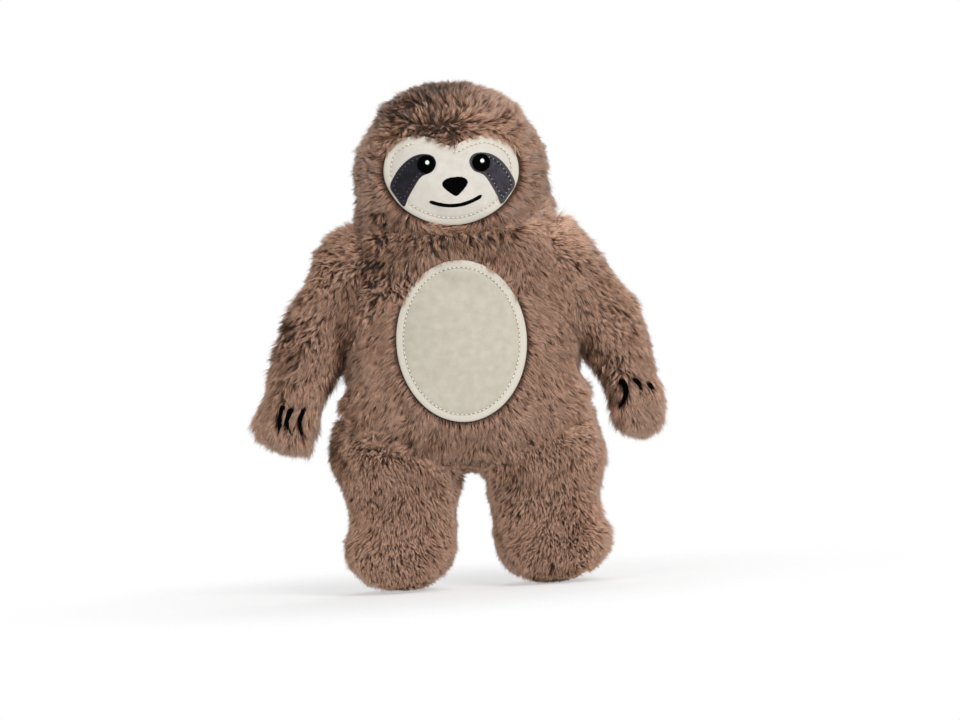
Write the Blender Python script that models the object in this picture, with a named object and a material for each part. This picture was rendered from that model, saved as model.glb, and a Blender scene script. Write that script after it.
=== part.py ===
# A stuffed plush sloth that stands on its two feet: fur-fabric torso, head, arms and
# legs over fibre filling, felt patches on face and belly, and embroidered features.
# Metres. +Z is up, the front faces -Y, the floor is z = 0, and left is the toy's own.
import math

import bmesh
import bpy
from mathutils import Matrix, Vector

mm = 0.001

# Cloth, thread and clearances
FUR_FABRIC = 3.0 * mm
FELT = 1.2 * mm
EMBROIDERY = 1.3 * mm
HIGHLIGHT_THREAD = 0.6 * mm
SEAM_GAP = 0.3 * mm
LAYER_GAP = 0.4 * mm
JOINT_GAP = 0.4 * mm
OVERRUN = 120 * mm
WELD = 0.001 * mm

# Torso
NECK_HEIGHT = 245 * mm
CROTCH_HEIGHT = 78 * mm
TORSO_WIDTH = 186 * mm
TORSO_FRONT = 53 * mm
TORSO_BACK = 48 * mm
TORSO_SEGMENTS = 24
TORSO_POWER = 2.3

# Rows of a body: height share, half-width share, front share, back share
TORSO_SHARES = (
    (0.006, 0.52, 0.38, 0.38),
    (0.024, 0.82, 0.62, 0.62),
    (0.059, 0.93, 0.79, 0.80),
    (0.107, 0.985, 0.90, 0.92),
    (0.166, 1.00, 0.965, 1.00),
    (0.231, 0.972, 1.00, 0.985),
    (0.296, 0.93, 1.00, 0.955),
    (0.361, 0.885, 0.985, 0.925),
    (0.438, 0.862, 0.955, 0.885),
    (0.515, 0.853, 0.91, 0.85),
    (0.598, 0.847, 0.86, 0.818),
    (0.686, 0.84, 0.812, 0.79),
    (0.769, 0.832, 0.765, 0.765),
    (0.852, 0.815, 0.728, 0.74),
    (0.929, 0.78, 0.70, 0.72),
    (0.970, 0.715, 0.68, 0.71),
    (1.000, 0.63, 0.65, 0.69),
    (1.030, 0.46, 0.48, 0.51),
)
TORSO_END_SHARES = (0.0, 1.045)

# Head, which turns on the neck seam
HEAD_HEIGHT = 100 * mm
HEAD_WIDTH = 130 * mm
HEAD_FRONT = 58 * mm
HEAD_BACK = 48 * mm
HEAD_SEGMENTS = 24
HEAD_POWER = 2.15
HEAD_SHARES = (
    (-0.055, 0.60, 0.62, 0.70),
    (0.000, 0.80, 0.80, 0.88),
    (0.037, 0.89, 0.875, 0.92),
    (0.087, 0.955, 0.935, 0.95),
    (0.147, 0.99, 0.97, 0.975),
    (0.228, 1.01, 0.995, 0.99),
    (0.348, 1.00, 1.00, 1.00),
    (0.448, 0.995, 0.985, 1.00),
    (0.549, 0.972, 0.945, 0.985),
    (0.659, 0.915, 0.88, 0.94),
    (0.750, 0.83, 0.80, 0.87),
    (0.830, 0.73, 0.705, 0.785),
    (0.900, 0.60, 0.585, 0.66),
    (0.950, 0.445, 0.445, 0.51),
    (0.985, 0.26, 0.27, 0.31),
)
HEAD_END_SHARES = (-0.08, 1.0)

# Arms: the armhole plane leans in at the top and carries the shoulder hinge
SHOULDER_OUT = 65.5 * mm
SHOULDER_DROP = 28.3 * mm
SHOULDER_HEIGHT = NECK_HEIGHT - SHOULDER_DROP
ARMHOLE_LEAN = math.radians(13.2)
ARMHOLE_REACH = 72 * mm
SHOULDER_PAD = 5.6 * mm
ARM_SPREAD = 50 * mm
ARM_DROP = 105 * mm
ARM_WIDTH = 44 * mm
ARM_DEPTH = 46 * mm
HAND_CAP = 16.5 * mm
ARM_SEGMENTS = 14
ARM_RING_COUNT = 11
ARM_POWER = 2.1
# Rows of the arm: outward share, downward share, half-width share, half-depth share
ARM_SHARES = (
    (0.00, 0.00, 1.32, 1.09),
    (0.27, 0.18, 1.20, 1.07),
    (0.52, 0.36, 1.11, 1.03),
    (0.71, 0.54, 1.00, 1.00),
    (0.85, 0.71, 0.93, 0.95),
    (0.95, 0.86, 0.88, 0.90),
    (1.00, 1.00, 0.84, 0.87),
)
SHOULDER_CAP_ANGLES = (64, 34)
HAND_CAP_ANGLES = (26, 50, 71)

# Legs: the barrel top is turned about the hip hinge, which climbs outward with the hip
# crease, and beds into the torso
HIP_HEIGHT = 91 * mm
HIP_RADIUS = 33 * mm
HIP_RISE = math.radians(16)
LEG_OUT = 50 * mm
LEG_WIDTH = 85 * mm
FOOT_SPLAY = 3 * mm
SOLE_CUT = 0.5 * mm
LEG_SEGMENTS = 20
LEG_POWER = 2.6
LEG_FORWARD = math.radians(45)
LEG_BACKWARD = math.radians(20)
GROOVE_STEP = math.radians(9)
GROOVE_SEGMENTS = 5
GROOVE_EASE = 2.7 * mm
BARREL_ANGLES = (20, 42, 66, 90)
# Rows of the leg: height, splay, tilt, half-width, front and back shares
LEG_SHARES = (
    (0.003, 1.00, 0.00, 0.36, 0.67, 0.55),
    (0.013, 1.00, 0.00, 0.455, 0.81, 0.67),
    (0.038, 1.00, 0.00, 0.54, 0.93, 0.77),
    (0.082, 1.00, 0.00, 0.65, 1.06, 0.87),
    (0.143, 1.00, 0.00, 0.752, 1.14, 0.93),
    (0.220, 1.00, 0.00, 0.835, 1.165, 0.955),
    (0.308, 0.90, 0.00, 0.892, 1.15, 0.97),
    (0.396, 0.60, 0.00, 0.885, 1.09, 0.97),
    (0.484, 0.00, 0.02, 0.848, 1.03, 0.97),
    (0.571, -0.40, 0.08, 0.836, 1.00, 0.97),
    (0.659, -0.45, 0.20, 0.856, 1.00, 0.98),
    (0.769, -0.33, 0.44, 0.916, 1.00, 0.995),
    (0.879, 0.10, 0.80, 0.965, 1.00, 1.00),
    (1.000, 0.00, 1.00, 1.00, 1.00, 1.00),
)

# Belly patch
BELLY_HEIGHT_SHARE = 0.554
BELLY_WIDTH = 89 * mm
BELLY_LENGTH = 110 * mm
BELLY_SEGMENTS = 32

# Face patch: half outline from chin to brow dip, as shares of half-width and height
FACE_CHIN_RISE = 4 * mm
FACE_WIDTH = 92 * mm
FACE_HEIGHT = 61 * mm
FACE_SHARES = (
    (0.00, 0.00), (0.37, 0.05), (0.72, 0.20), (0.945, 0.43), (1.00, 0.62),
    (0.935, 0.82), (0.76, 0.94), (0.52, 1.00), (0.26, 0.965), (0.00, 0.885),
)

# Eye patch: closed outline round the eye and down to the edge of the face patch
EYE_PATCH_SHARES = (
    (0.245, 0.705), (0.31, 0.61), (0.465, 0.555), (0.58, 0.435), (0.665, 0.325), (0.725, 0.235),
    (0.835, 0.335), (0.925, 0.45), (0.875, 0.565), (0.75, 0.70), (0.595, 0.785), (0.425, 0.81),
    (0.295, 0.785),
)

# Eyes, nose and mouth
EYE_OUT = 18.2 * mm
EYE_HEIGHT_SHARE = 0.705
EYE_DIAMETER = 11.6 * mm
EYE_SEGMENTS = 14
HIGHLIGHT_DIAMETER = 2.8 * mm
HIGHLIGHT_OFFSET = 0.6 * mm
HIGHLIGHT_SEGMENTS = 8
NOSE_WIDTH = 17.8 * mm
NOSE_LENGTH = 12.6 * mm
NOSE_TOP_SHARE = 0.535
NOSE_SHARES = (
    (0.00, 0.00), (0.42, -0.02), (0.80, -0.13), (0.98, -0.34), (0.80, -0.60), (0.36, -0.91), (0.00, -1.00),
)
MOUTH_WIDTH = 36 * mm
MOUTH_DROP = 5 * mm
MOUTH_CORNER_SHARE = 0.29
MOUTH_THREAD = 2.1 * mm
MOUTH_SEGMENTS = 8

# Claws, three to a hand, bowed outward
CLAW_LENGTH = 19.5 * mm
CLAW_TOP_WIDTH = 4.6 * mm
CLAW_TIP_WIDTH = 1.8 * mm
CLAW_BOW = 4.0 * mm
CLAW_RISE = 20.5 * mm
CLAW_SEGMENTS = 6
CLAW_OUT = (-11.8 * mm, -2.8 * mm, 5.4 * mm)

# Colours as linear RGB, and roughness
FUR_COLOUR = (0.235, 0.152, 0.107)
CREAM_COLOUR = (0.70, 0.66, 0.58)
GREY_COLOUR = (0.030, 0.028, 0.034)
BLACK_COLOUR = (0.006, 0.006, 0.007)
WHITE_COLOUR = (0.86, 0.86, 0.86)
FUR_ROUGHNESS = 0.95
FELT_ROUGHNESS = 0.9
THREAD_ROUGHNESS = 0.55


# Scene and small helpers
def clear_scene():
    for item in list(bpy.data.objects):
        bpy.data.objects.remove(item, do_unlink=True)


def make_material(name, colour, roughness):
    material = bpy.data.materials.new(name)
    material.use_nodes = True
    shader = material.node_tree.nodes["Principled BSDF"]
    shader.inputs["Base Color"].default_value = (*colour, 1)
    shader.inputs["Roughness"].default_value = roughness
    shader.inputs["Metallic"].default_value = 0
    material.diffuse_color = (*colour, 1)
    return material


def curve_through(rows, step):
    """A point of the smooth curve through the rows, at a step that may lie between two."""
    first = min(int(step), len(rows) - 2)
    t = step - first
    near = [rows[min(max(first + k, 0), len(rows) - 1)] for k in (-1, 0, 1, 2)]
    return [
        b + 0.5 * t * (c - a + t * (2 * a - 5 * b + 4 * c - d + t * (3 * b - 3 * c + d - a)))
        for a, b, c, d in zip(*near)
    ]


def closed_curve(points, steps):
    """The smooth closed curve through the points, with that many steps to each."""
    count = len(points)
    ring = [points[-1], *points, points[0], points[1]]
    return [curve_through(ring, 1 + index / steps) for index in range(count * steps)]


def oval(share, power):
    """Unit point of a rounded section, out along +X at share 0 and back along +Y first."""
    c, s = math.cos(math.tau * share), math.sin(math.tau * share)
    return math.copysign(abs(c) ** (2 / power), c), math.copysign(abs(s) ** (2 / power), s)


# Mesh helpers
def loft(rings, start=None, end=None):
    """A closed skin over rings of equal count, with a point at either end where given."""
    bm = bmesh.new()
    loops = [[bm.verts.new(point) for point in ring] for ring in rings]
    count = len(rings[0])
    for low, high in zip(loops, loops[1:]):
        for k in range(count):
            bm.faces.new((low[k], low[(k + 1) % count], high[(k + 1) % count], high[k]))
    for loop, tip in ((loops[0], start), (loops[-1], end)):
        if tip is not None:
            point = bm.verts.new(tip)
            for k in range(count):
                bm.faces.new((loop[k], loop[(k + 1) % count], point))
    bmesh.ops.remove_doubles(bm, verts=bm.verts, dist=WELD)
    bmesh.ops.recalc_face_normals(bm, faces=bm.faces)
    return bm


def inset(bm, depth):
    """Moves the skin inward along its normals, or outward where the depth is negative."""
    bm.normal_update()
    moved = [(vert, vert.co - vert.normal * depth) for vert in bm.verts]
    for vert, place in moved:
        vert.co = place
    return bm


def cut_flat(bm, point, outward):
    """Cuts off what lies outward of the plane and closes the cut."""
    everything = list(bm.verts) + list(bm.edges) + list(bm.faces)
    bmesh.ops.bisect_plane(bm, geom=everything, plane_co=point, plane_no=outward, clear_outer=True)
    rim = [edge for edge in bm.edges if edge.is_boundary]
    bmesh.ops.holes_fill(bm, edges=rim, sides=0)
    bmesh.ops.recalc_face_normals(bm, faces=bm.faces)
    return bm


def to_mesh(bm):
    mesh = bpy.data.meshes.new("shape")
    bm.to_mesh(mesh)
    bm.free()
    return mesh


def combine(base, tool, operation):
    """The boolean of two closed meshes."""
    first = bpy.data.objects.new("base", base)
    second = bpy.data.objects.new("tool", tool)
    for item in (first, second):
        bpy.context.scene.collection.objects.link(item)
    modifier = first.modifiers.new("cut", "BOOLEAN")
    modifier.operation = operation
    modifier.solver = "EXACT"
    modifier.object = second
    bpy.context.view_layer.update()
    graph = bpy.context.evaluated_depsgraph_get()
    result = bpy.data.meshes.new_from_object(first.evaluated_get(graph))
    for item in (first, second):
        bpy.data.objects.remove(item, do_unlink=True)
    return result


def prism(outline, start, end):
    """An outline in X and Z, extruded along Y from start to end."""
    rings = [[Vector((x, depth, z)) for x, z in outline] for depth in (start, end)]
    return capped(rings)


def capped(rings):
    """A loft whose first and last rings are closed by a flat face."""
    bm = bmesh.new()
    loops = [[bm.verts.new(point) for point in ring] for ring in rings]
    count = len(rings[0])
    for near, far in zip(loops, loops[1:]):
        for k in range(count):
            bm.faces.new((near[k], near[(k + 1) % count], far[(k + 1) % count], far[k]))
    bm.faces.new(loops[0])
    bm.faces.new(loops[-1])
    bmesh.ops.recalc_face_normals(bm, faces=bm.faces)
    return to_mesh(bm)


def tidy(mesh):
    """Merges what a cut left doubled and turns every face outward."""
    bm = bmesh.new()
    bm.from_mesh(mesh)
    bmesh.ops.remove_doubles(bm, verts=bm.verts, dist=WELD)
    bmesh.ops.dissolve_degenerate(bm, edges=bm.edges, dist=WELD)
    bmesh.ops.triangulate(bm, faces=bm.faces)
    bmesh.ops.recalc_face_normals(bm, faces=bm.faces)
    bm.to_mesh(mesh)
    bm.free()
    return mesh


def centring():
    """The move that sets the middle of the toy's depth over the origin. Seams are made at y = 0."""
    front = HEAD_FRONT + 2 * LAYER_GAP + FELT + EMBROIDERY
    return Vector((0, (front - max(HEAD_BACK, TORSO_BACK)) / 2, 0))


def place(name, mesh, hinge, material):
    """Moves a made mesh to its place in the world, under its hinge's empty."""
    tidy(mesh)
    mesh.transform(hinge.matrix_world.inverted() @ Matrix.Translation(centring()))
    mesh.name = name
    mesh.materials.clear()
    mesh.materials.append(material)
    item = bpy.data.objects.new(name, mesh)
    bpy.context.scene.collection.objects.link(item)
    item.parent = hinge
    mesh.shade_smooth()
    mesh.set_sharp_from_angle(angle=math.radians(38))
    return item


def hinge_at(name, location):
    hinge = bpy.data.objects.new(name, None)
    hinge.location = location
    bpy.context.scene.collection.objects.link(hinge)
    bpy.context.view_layer.update()
    return hinge


def body_rings(shares, base, height, width, front, back, segments, power):
    """Level rings of a body from its rows of shares."""
    rings = []
    for height_share, width_share, front_share, back_share in shares:
        ring = []
        for k in range(segments):
            x, y = oval(k / segments, power)
            depth = back * back_share if y > 0 else front * front_share
            ring.append(Vector((x * width * width_share / 2, y * depth, base + height * height_share)))
        rings.append(ring)
    return rings


# Torso
def armhole_outward(side):
    return Vector((side * math.cos(ARMHOLE_LEAN), 0, math.sin(ARMHOLE_LEAN)))


def shoulder_point(side):
    return Vector((side * SHOULDER_OUT, 0, SHOULDER_HEIGHT))


def torso_skin(depth):
    height = NECK_HEIGHT - CROTCH_HEIGHT
    rings = body_rings(
        TORSO_SHARES, CROTCH_HEIGHT, height, TORSO_WIDTH, TORSO_FRONT, TORSO_BACK, TORSO_SEGMENTS, TORSO_POWER
    )
    low, high = (Vector((0, 0, CROTCH_HEIGHT + height * share)) for share in TORSO_END_SHARES)
    return inset(loft(rings, low, high), depth)


def armhole_cutter(side, depth):
    """A block whose inner face is the armhole plane, moved in by the depth."""
    outward = armhole_outward(side)
    up = Vector((-outward.z, 0, outward.x)) * side
    foot = shoulder_point(side) - outward * (JOINT_GAP + depth)
    corners = []
    for along, out in ((-ARMHOLE_REACH, 0), (OVERRUN, 0), (OVERRUN, OVERRUN), (-ARMHOLE_REACH, OVERRUN)):
        corner = foot + up * along + outward * out
        corners.append((corner.x, corner.z))
    return prism(corners, -OVERRUN, OVERRUN)


def hip_frame(side):
    """The hip's centre, its hinge axis outward, and the way up square to both."""
    c, s = math.cos(HIP_RISE), math.sin(HIP_RISE)
    return Vector((side * LEG_OUT, 0, HIP_HEIGHT)), Vector((side * c, 0, s)), Vector((-side * s, 0, c))


def groove_ring(side, out, radius):
    """An arc over the hinge and the two planes that the leg reaches at full swing."""
    centre, axis, up = hip_frame(side)
    first, last = LEG_BACKWARD, math.pi - LEG_FORWARD
    count = round((last - first) / GROOVE_STEP)
    turns = [first + (last - first) * k / count for k in range(count + 1)]
    flat = [(radius * math.cos(turn), radius * math.sin(turn)) for turn in turns]
    flat.append((flat[-1][0] - OVERRUN * math.sin(LEG_FORWARD), flat[-1][1] - OVERRUN * math.cos(LEG_FORWARD)))
    flat.append((flat[0][0] + OVERRUN * math.sin(LEG_BACKWARD), flat[0][1] - OVERRUN * math.cos(LEG_BACKWARD)))
    return [centre + axis * out + Vector((0, y, 0)) + up * z for y, z in flat]


def groove_cutter(side, depth):
    """The space that the barrel top of a leg swings in, from its inner end outward."""
    more = JOINT_GAP + depth
    rings = []
    for station in range(GROOVE_SEGMENTS + 1):
        along, across = oval(station / GROOVE_SEGMENTS / 4, LEG_POWER)
        reach = LEG_WIDTH / 2 + GROOVE_EASE + more
        rings.append(groove_ring(side, -along * reach, max(across * (HIP_RADIUS + more), more)))
    rings.append(groove_ring(side, TORSO_WIDTH / 2 + OVERRUN, HIP_RADIUS + more))
    return capped(rings)


def torso_form(depth):
    skin = cut_flat(torso_skin(depth), Vector((0, 0, NECK_HEIGHT - depth)), Vector((0, 0, 1)))
    mesh = to_mesh(skin)
    for side in (1, -1):
        mesh = combine(mesh, armhole_cutter(side, depth), "DIFFERENCE")
        mesh = combine(mesh, groove_cutter(side, depth), "DIFFERENCE")
    return mesh


# Head
def head_base():
    return NECK_HEIGHT + JOINT_GAP


def head_skin(depth):
    base = head_base()
    rings = body_rings(
        HEAD_SHARES, base, HEAD_HEIGHT, HEAD_WIDTH, HEAD_FRONT, HEAD_BACK, HEAD_SEGMENTS, HEAD_POWER
    )
    low, high = (Vector((0, 0, base + HEAD_HEIGHT * share)) for share in HEAD_END_SHARES)
    return inset(loft(rings, low, high), depth)


def head_form(depth):
    return to_mesh(cut_flat(head_skin(depth), Vector((0, 0, head_base() + depth)), Vector((0, 0, -1))))


# Arms
def arm_route(side):
    """Centre, half-width and half-depth along the arm, from shoulder to hand."""
    start = shoulder_point(side) + armhole_outward(side) * SHOULDER_PAD
    rows = []
    for ring in range(ARM_RING_COUNT):
        step = ring * (len(ARM_SHARES) - 1) / (ARM_RING_COUNT - 1)
        out, down, width_share, depth_share = curve_through(ARM_SHARES, step)
        centre = start + Vector((side * ARM_SPREAD * out, 0, -ARM_DROP * down))
        rows.append((centre, ARM_WIDTH / 2 * width_share, ARM_DEPTH / 2 * depth_share))
    return rows


def arm_ring(centre, along, half_width, half_depth):
    across = along.cross(Vector((0, 1, 0))).normalized()
    ring = []
    for k in range(ARM_SEGMENTS):
        u, v = oval(k / ARM_SEGMENTS, ARM_POWER)
        ring.append(centre + across * (u * half_width) + Vector((0, v * half_depth, 0)))
    return ring


def arm_skin(side, depth):
    rows = arm_route(side)
    centres = [row[0] for row in rows]
    ways = [(centres[min(k + 1, len(rows) - 1)] - centres[max(k - 1, 0)]).normalized() for k in range(len(rows))]
    first, last = rows[0], rows[-1]
    rings = []
    for degrees in SHOULDER_CAP_ANGLES:
        c, s = math.cos(math.radians(degrees)), math.sin(math.radians(degrees))
        rings.append(arm_ring(first[0] - ways[0] * first[1] * s, ways[0], first[1] * c, first[2] * c))
    rings += [arm_ring(row[0], way, row[1], row[2]) for row, way in zip(rows, ways)]
    for degrees in HAND_CAP_ANGLES:
        c, s = math.cos(math.radians(degrees)), math.sin(math.radians(degrees))
        rings.append(arm_ring(last[0] + ways[-1] * HAND_CAP * s, ways[-1], last[1] * c, last[2] * c))
    skin = loft(rings, first[0] - ways[0] * first[1], last[0] + ways[-1] * HAND_CAP)
    return inset(skin, depth)


def arm_form(side, depth):
    outward = armhole_outward(side)
    return to_mesh(cut_flat(arm_skin(side, depth), shoulder_point(side) + outward * depth, -outward))


# Legs
def leg_skin(side, depth):
    rings = []
    for height_share, splay_share, tilt_share, width_share, front_share, back_share in LEG_SHARES:
        centre = LEG_OUT + FOOT_SPLAY * splay_share
        tilt = HIP_RISE * tilt_share
        ring = []
        for k in range(LEG_SEGMENTS):
            x, y = oval(k / LEG_SEGMENTS, LEG_POWER)
            along = x * LEG_WIDTH * width_share / 2
            reach = HIP_RADIUS * (back_share if y > 0 else front_share)
            across = side * (centre + along * math.cos(tilt))
            ring.append(Vector((across, y * reach, HIP_HEIGHT * height_share + along * math.sin(tilt))))
        rings.append(ring)
    hip, axis, up = hip_frame(side)
    for degrees in BARREL_ANGLES:
        c, s = math.cos(math.radians(degrees)), math.sin(math.radians(degrees))
        ring = []
        for k in range(LEG_SEGMENTS):
            x, y = oval(k / LEG_SEGMENTS, LEG_POWER)
            reach = HIP_RADIUS * y
            ring.append(hip + axis * (x * LEG_WIDTH / 2) + Vector((0, reach * c, 0)) + up * abs(reach * s))
        rings.append(ring)
    sole = Vector((side * (LEG_OUT + FOOT_SPLAY), 0, -SOLE_CUT))
    return inset(loft(rings, sole), depth)


def leg_form(side, depth):
    return to_mesh(cut_flat(leg_skin(side, depth), Vector((0, 0, depth)), Vector((0, 0, -1))))


# A stuffed piece: front panel, back panel and filling of one form
def make_sack(name, form, hinge, fur, filling):
    inner = form(FUR_FABRIC)
    for panel, facing in (("front_panel", -1), ("back_panel", 1)):
        half = bmesh.new()
        half.from_mesh(form(0))
        cut_flat(half, Vector((0, facing * SEAM_GAP / 2, 0)), Vector((0, -facing, 0)))
        shell = combine(to_mesh(half), inner.copy(), "DIFFERENCE")
        place(f"{name}_{panel}", shell, hinge, fur)
    place(f"{name}_stuffing", form(FUR_FABRIC + LAYER_GAP), hinge, filling)


def layer(skin, outline, start, thickness):
    """A flat piece of the outline laid on the front of a skin, from start to start plus thickness."""
    plug = combine(prism(outline, -OVERRUN, 0), to_mesh(skin(-start - thickness)), "INTERSECT")
    return combine(plug, to_mesh(skin(-start)), "DIFFERENCE")


def mirrored(outline, side):
    return [(side * x, z) for x, z in outline]


def ellipse(x, z, width, length, count):
    turns = (math.tau * k / count for k in range(count))
    return [(x + width / 2 * math.cos(turn), z + length / 2 * math.sin(turn)) for turn in turns]


def belly_outline():
    middle = CROTCH_HEIGHT + (NECK_HEIGHT - CROTCH_HEIGHT) * BELLY_HEIGHT_SHARE
    return ellipse(0, middle, BELLY_WIDTH, BELLY_LENGTH, BELLY_SEGMENTS)


# Outlines on the face
def face_point(width_share, height_share):
    return width_share * FACE_WIDTH / 2, head_base() + FACE_CHIN_RISE + height_share * FACE_HEIGHT


def face_outline():
    right = [face_point(*share) for share in FACE_SHARES]
    left = [(-x, z) for x, z in reversed(right[1:-1])]
    return closed_curve(right + left, 2)


def eye_patch_outline():
    return closed_curve([face_point(*share) for share in EYE_PATCH_SHARES], 1)


def nose_outline():
    top = face_point(0, NOSE_TOP_SHARE)[1]
    right = [(x * NOSE_WIDTH / 2, top + z * NOSE_LENGTH) for x, z in NOSE_SHARES]
    left = [(-x, z) for x, z in reversed(right[1:-1])]
    return closed_curve(right + left, 1)


def mouth_outline():
    """A band of even width along a smile that is a shallow arc."""
    corner = face_point(0, MOUTH_CORNER_SHARE)[1]
    upper, lower = [], []
    for k in range(MOUTH_SEGMENTS + 1):
        share = 2 * k / MOUTH_SEGMENTS - 1
        x = share * MOUTH_WIDTH / 2
        z = corner - MOUTH_DROP * (1 - share * share)
        slope = Vector((MOUTH_WIDTH / 2, 2 * MOUTH_DROP * share)).normalized()
        upper.append((x - slope.y * MOUTH_THREAD / 2, z + slope.x * MOUTH_THREAD / 2))
        lower.append((x + slope.y * MOUTH_THREAD / 2, z - slope.x * MOUTH_THREAD / 2))
    return upper + lower[::-1]


def claw_outline(side, out):
    """A tapered band that bows away from the body."""
    hand = arm_route(side)[-1][0]
    outer, inner = [], []
    for k in range(CLAW_SEGMENTS + 1):
        share = k / CLAW_SEGMENTS
        bow = CLAW_BOW * math.sin(math.pi * share)
        half = (CLAW_TOP_WIDTH + (CLAW_TIP_WIDTH - CLAW_TOP_WIDTH) * share) / 2
        x = side * (abs(hand.x) + out + bow)
        z = hand.z + CLAW_RISE - CLAW_LENGTH * share
        outer.append((x + half, z))
        inner.append((x - half, z))
    return outer + inner[::-1]


# Build
def build():
    clear_scene()
    fur = make_material("taupe_plush_fabric", FUR_COLOUR, FUR_ROUGHNESS)
    filling = make_material("white_fibre_filling", WHITE_COLOUR, FUR_ROUGHNESS)
    cream = make_material("cream_felt", CREAM_COLOUR, FELT_ROUGHNESS)
    grey = make_material("charcoal_felt", GREY_COLOUR, FELT_ROUGHNESS)
    black = make_material("black_thread", BLACK_COLOUR, THREAD_ROUGHNESS)
    white = make_material("white_thread", WHITE_COLOUR, THREAD_ROUGHNESS)

    root = hinge_at("torso_root", Vector((0, 0, 0)))
    make_sack("torso", torso_form, root, fur, filling)
    place("belly_patch", layer(torso_skin, belly_outline(), LAYER_GAP, FELT), root, cream)

    neck = hinge_at("neck", Vector((0, 0, NECK_HEIGHT)) + centring())
    make_sack("head", head_form, neck, fur, filling)
    on_head = LAYER_GAP
    on_face = on_head + FELT + LAYER_GAP
    on_patch = on_face + FELT + LAYER_GAP
    on_eye = on_patch + EMBROIDERY + LAYER_GAP
    place("face_patch", layer(head_skin, face_outline(), on_head, FELT), neck, cream)
    place("nose", layer(head_skin, nose_outline(), on_face, EMBROIDERY), neck, black)
    place("mouth", layer(head_skin, mouth_outline(), on_face, EMBROIDERY), neck, black)
    eye_height = face_point(0, EYE_HEIGHT_SHARE)[1]
    for side, word in ((1, "left"), (-1, "right")):
        patch = mirrored(eye_patch_outline(), side)
        eye = ellipse(side * EYE_OUT, eye_height, EYE_DIAMETER, EYE_DIAMETER, EYE_SEGMENTS)
        glint = ellipse(
            side * EYE_OUT + HIGHLIGHT_OFFSET, eye_height + HIGHLIGHT_OFFSET,
            HIGHLIGHT_DIAMETER, HIGHLIGHT_DIAMETER, HIGHLIGHT_SEGMENTS,
        )
        place(f"{word}_eye_patch", layer(head_skin, patch, on_face, FELT), neck, grey)
        place(f"{word}_eye", layer(head_skin, eye, on_patch, EMBROIDERY), neck, black)
        place(f"{word}_eye_highlight", layer(head_skin, glint, on_eye, HIGHLIGHT_THREAD), neck, white)

    for side, word in ((1, "left"), (-1, "right")):
        shoulder = hinge_at(f"{word}_shoulder", shoulder_point(side) + centring())
        make_sack(f"{word}_arm", lambda depth, side=side: arm_form(side, depth), shoulder, fur, filling)
        for number, out in enumerate(CLAW_OUT, 1):
            claw = layer(lambda depth, side=side: arm_skin(side, depth), claw_outline(side, out), LAYER_GAP, EMBROIDERY)
            place(f"{word}_claw_{number}", claw, shoulder, black)
        hip = hinge_at(f"{word}_hip", hip_frame(side)[0] + centring())
        make_sack(f"{word}_leg", lambda depth, side=side: leg_form(side, depth), hip, fur, filling)


build()
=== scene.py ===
# A plush sloth: taupe pile in small locks over stuffed sacks, felt patches on face and
# belly, and satin-stitched eyes, nose, mouth and claws
import math

import bmesh
import bpy
import numpy as np
from mathutils import Matrix, Vector, kdtree
from mathutils.bvhtree import BVHTree
from mathutils.geometry import delaunay_2d_cdt


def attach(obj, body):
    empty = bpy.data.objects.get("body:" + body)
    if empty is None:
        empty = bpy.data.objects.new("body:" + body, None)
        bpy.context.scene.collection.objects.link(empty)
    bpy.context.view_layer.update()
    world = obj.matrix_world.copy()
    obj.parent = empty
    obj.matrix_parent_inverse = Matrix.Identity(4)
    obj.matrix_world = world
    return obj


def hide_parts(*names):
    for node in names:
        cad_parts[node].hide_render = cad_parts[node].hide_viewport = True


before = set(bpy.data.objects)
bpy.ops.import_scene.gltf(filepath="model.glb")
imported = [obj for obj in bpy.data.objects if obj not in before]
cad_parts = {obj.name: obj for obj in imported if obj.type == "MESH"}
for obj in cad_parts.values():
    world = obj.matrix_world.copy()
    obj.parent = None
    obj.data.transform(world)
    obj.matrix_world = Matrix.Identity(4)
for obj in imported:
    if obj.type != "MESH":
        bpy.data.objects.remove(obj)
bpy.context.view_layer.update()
mm = 0.001

# Camera: turned a little, because the toy leans in the picture
photoView = {
    "aim": (11.7 * mm, 6.65 * mm, 155.5 * mm),  # the point at the middle of the picture
    "distance": 4.5825,
    "lens": 250,
    "near": 0.05,
    "elevation": 1.5,  # degrees
    "roll": 3.7,
}


def addItem(name, data):
    item = bpy.data.objects.new(name, data)
    bpy.context.scene.collection.objects.link(item)
    return item


def makeCamera(view):
    data = bpy.data.cameras.new("camera")
    data.lens, data.clip_start = view["lens"], view["near"]
    rise, roll = math.radians(view["elevation"]), math.radians(view["roll"])
    place = Vector(view["aim"]) + Vector((0, -math.cos(rise), math.sin(rise))) * view["distance"]
    turn = Matrix.Rotation(math.pi / 2 - rise, 4, "X") @ Matrix.Rotation(-roll, 4, "Z")
    camera = addItem("camera", data)
    camera.matrix_world = Matrix.Translation(place) @ turn
    bpy.context.scene.camera = camera


makeCamera(photoView)
bpy.context.scene.view_settings.view_transform = "Standard"
print("camera set")


# Materials
def toLinear(hexColour):
    parts = [int(hexColour[k : k + 2], 16) / 255 for k in (1, 3, 5)]
    return (*(c / 12.92 if c <= 0.04045 else ((c + 0.055) / 1.055) ** 2.4 for c in parts), 1)


def feed(node, inputs):
    # An input takes a value, a socket, or a node, which means its first output
    for key, value in inputs.items():
        if isinstance(value, bpy.types.Node):
            value = value.outputs[0]
        if isinstance(value, bpy.types.NodeSocket):
            node.id_data.links.new(value, node.inputs[key])
        else:
            node.inputs[key].default_value = value


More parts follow.
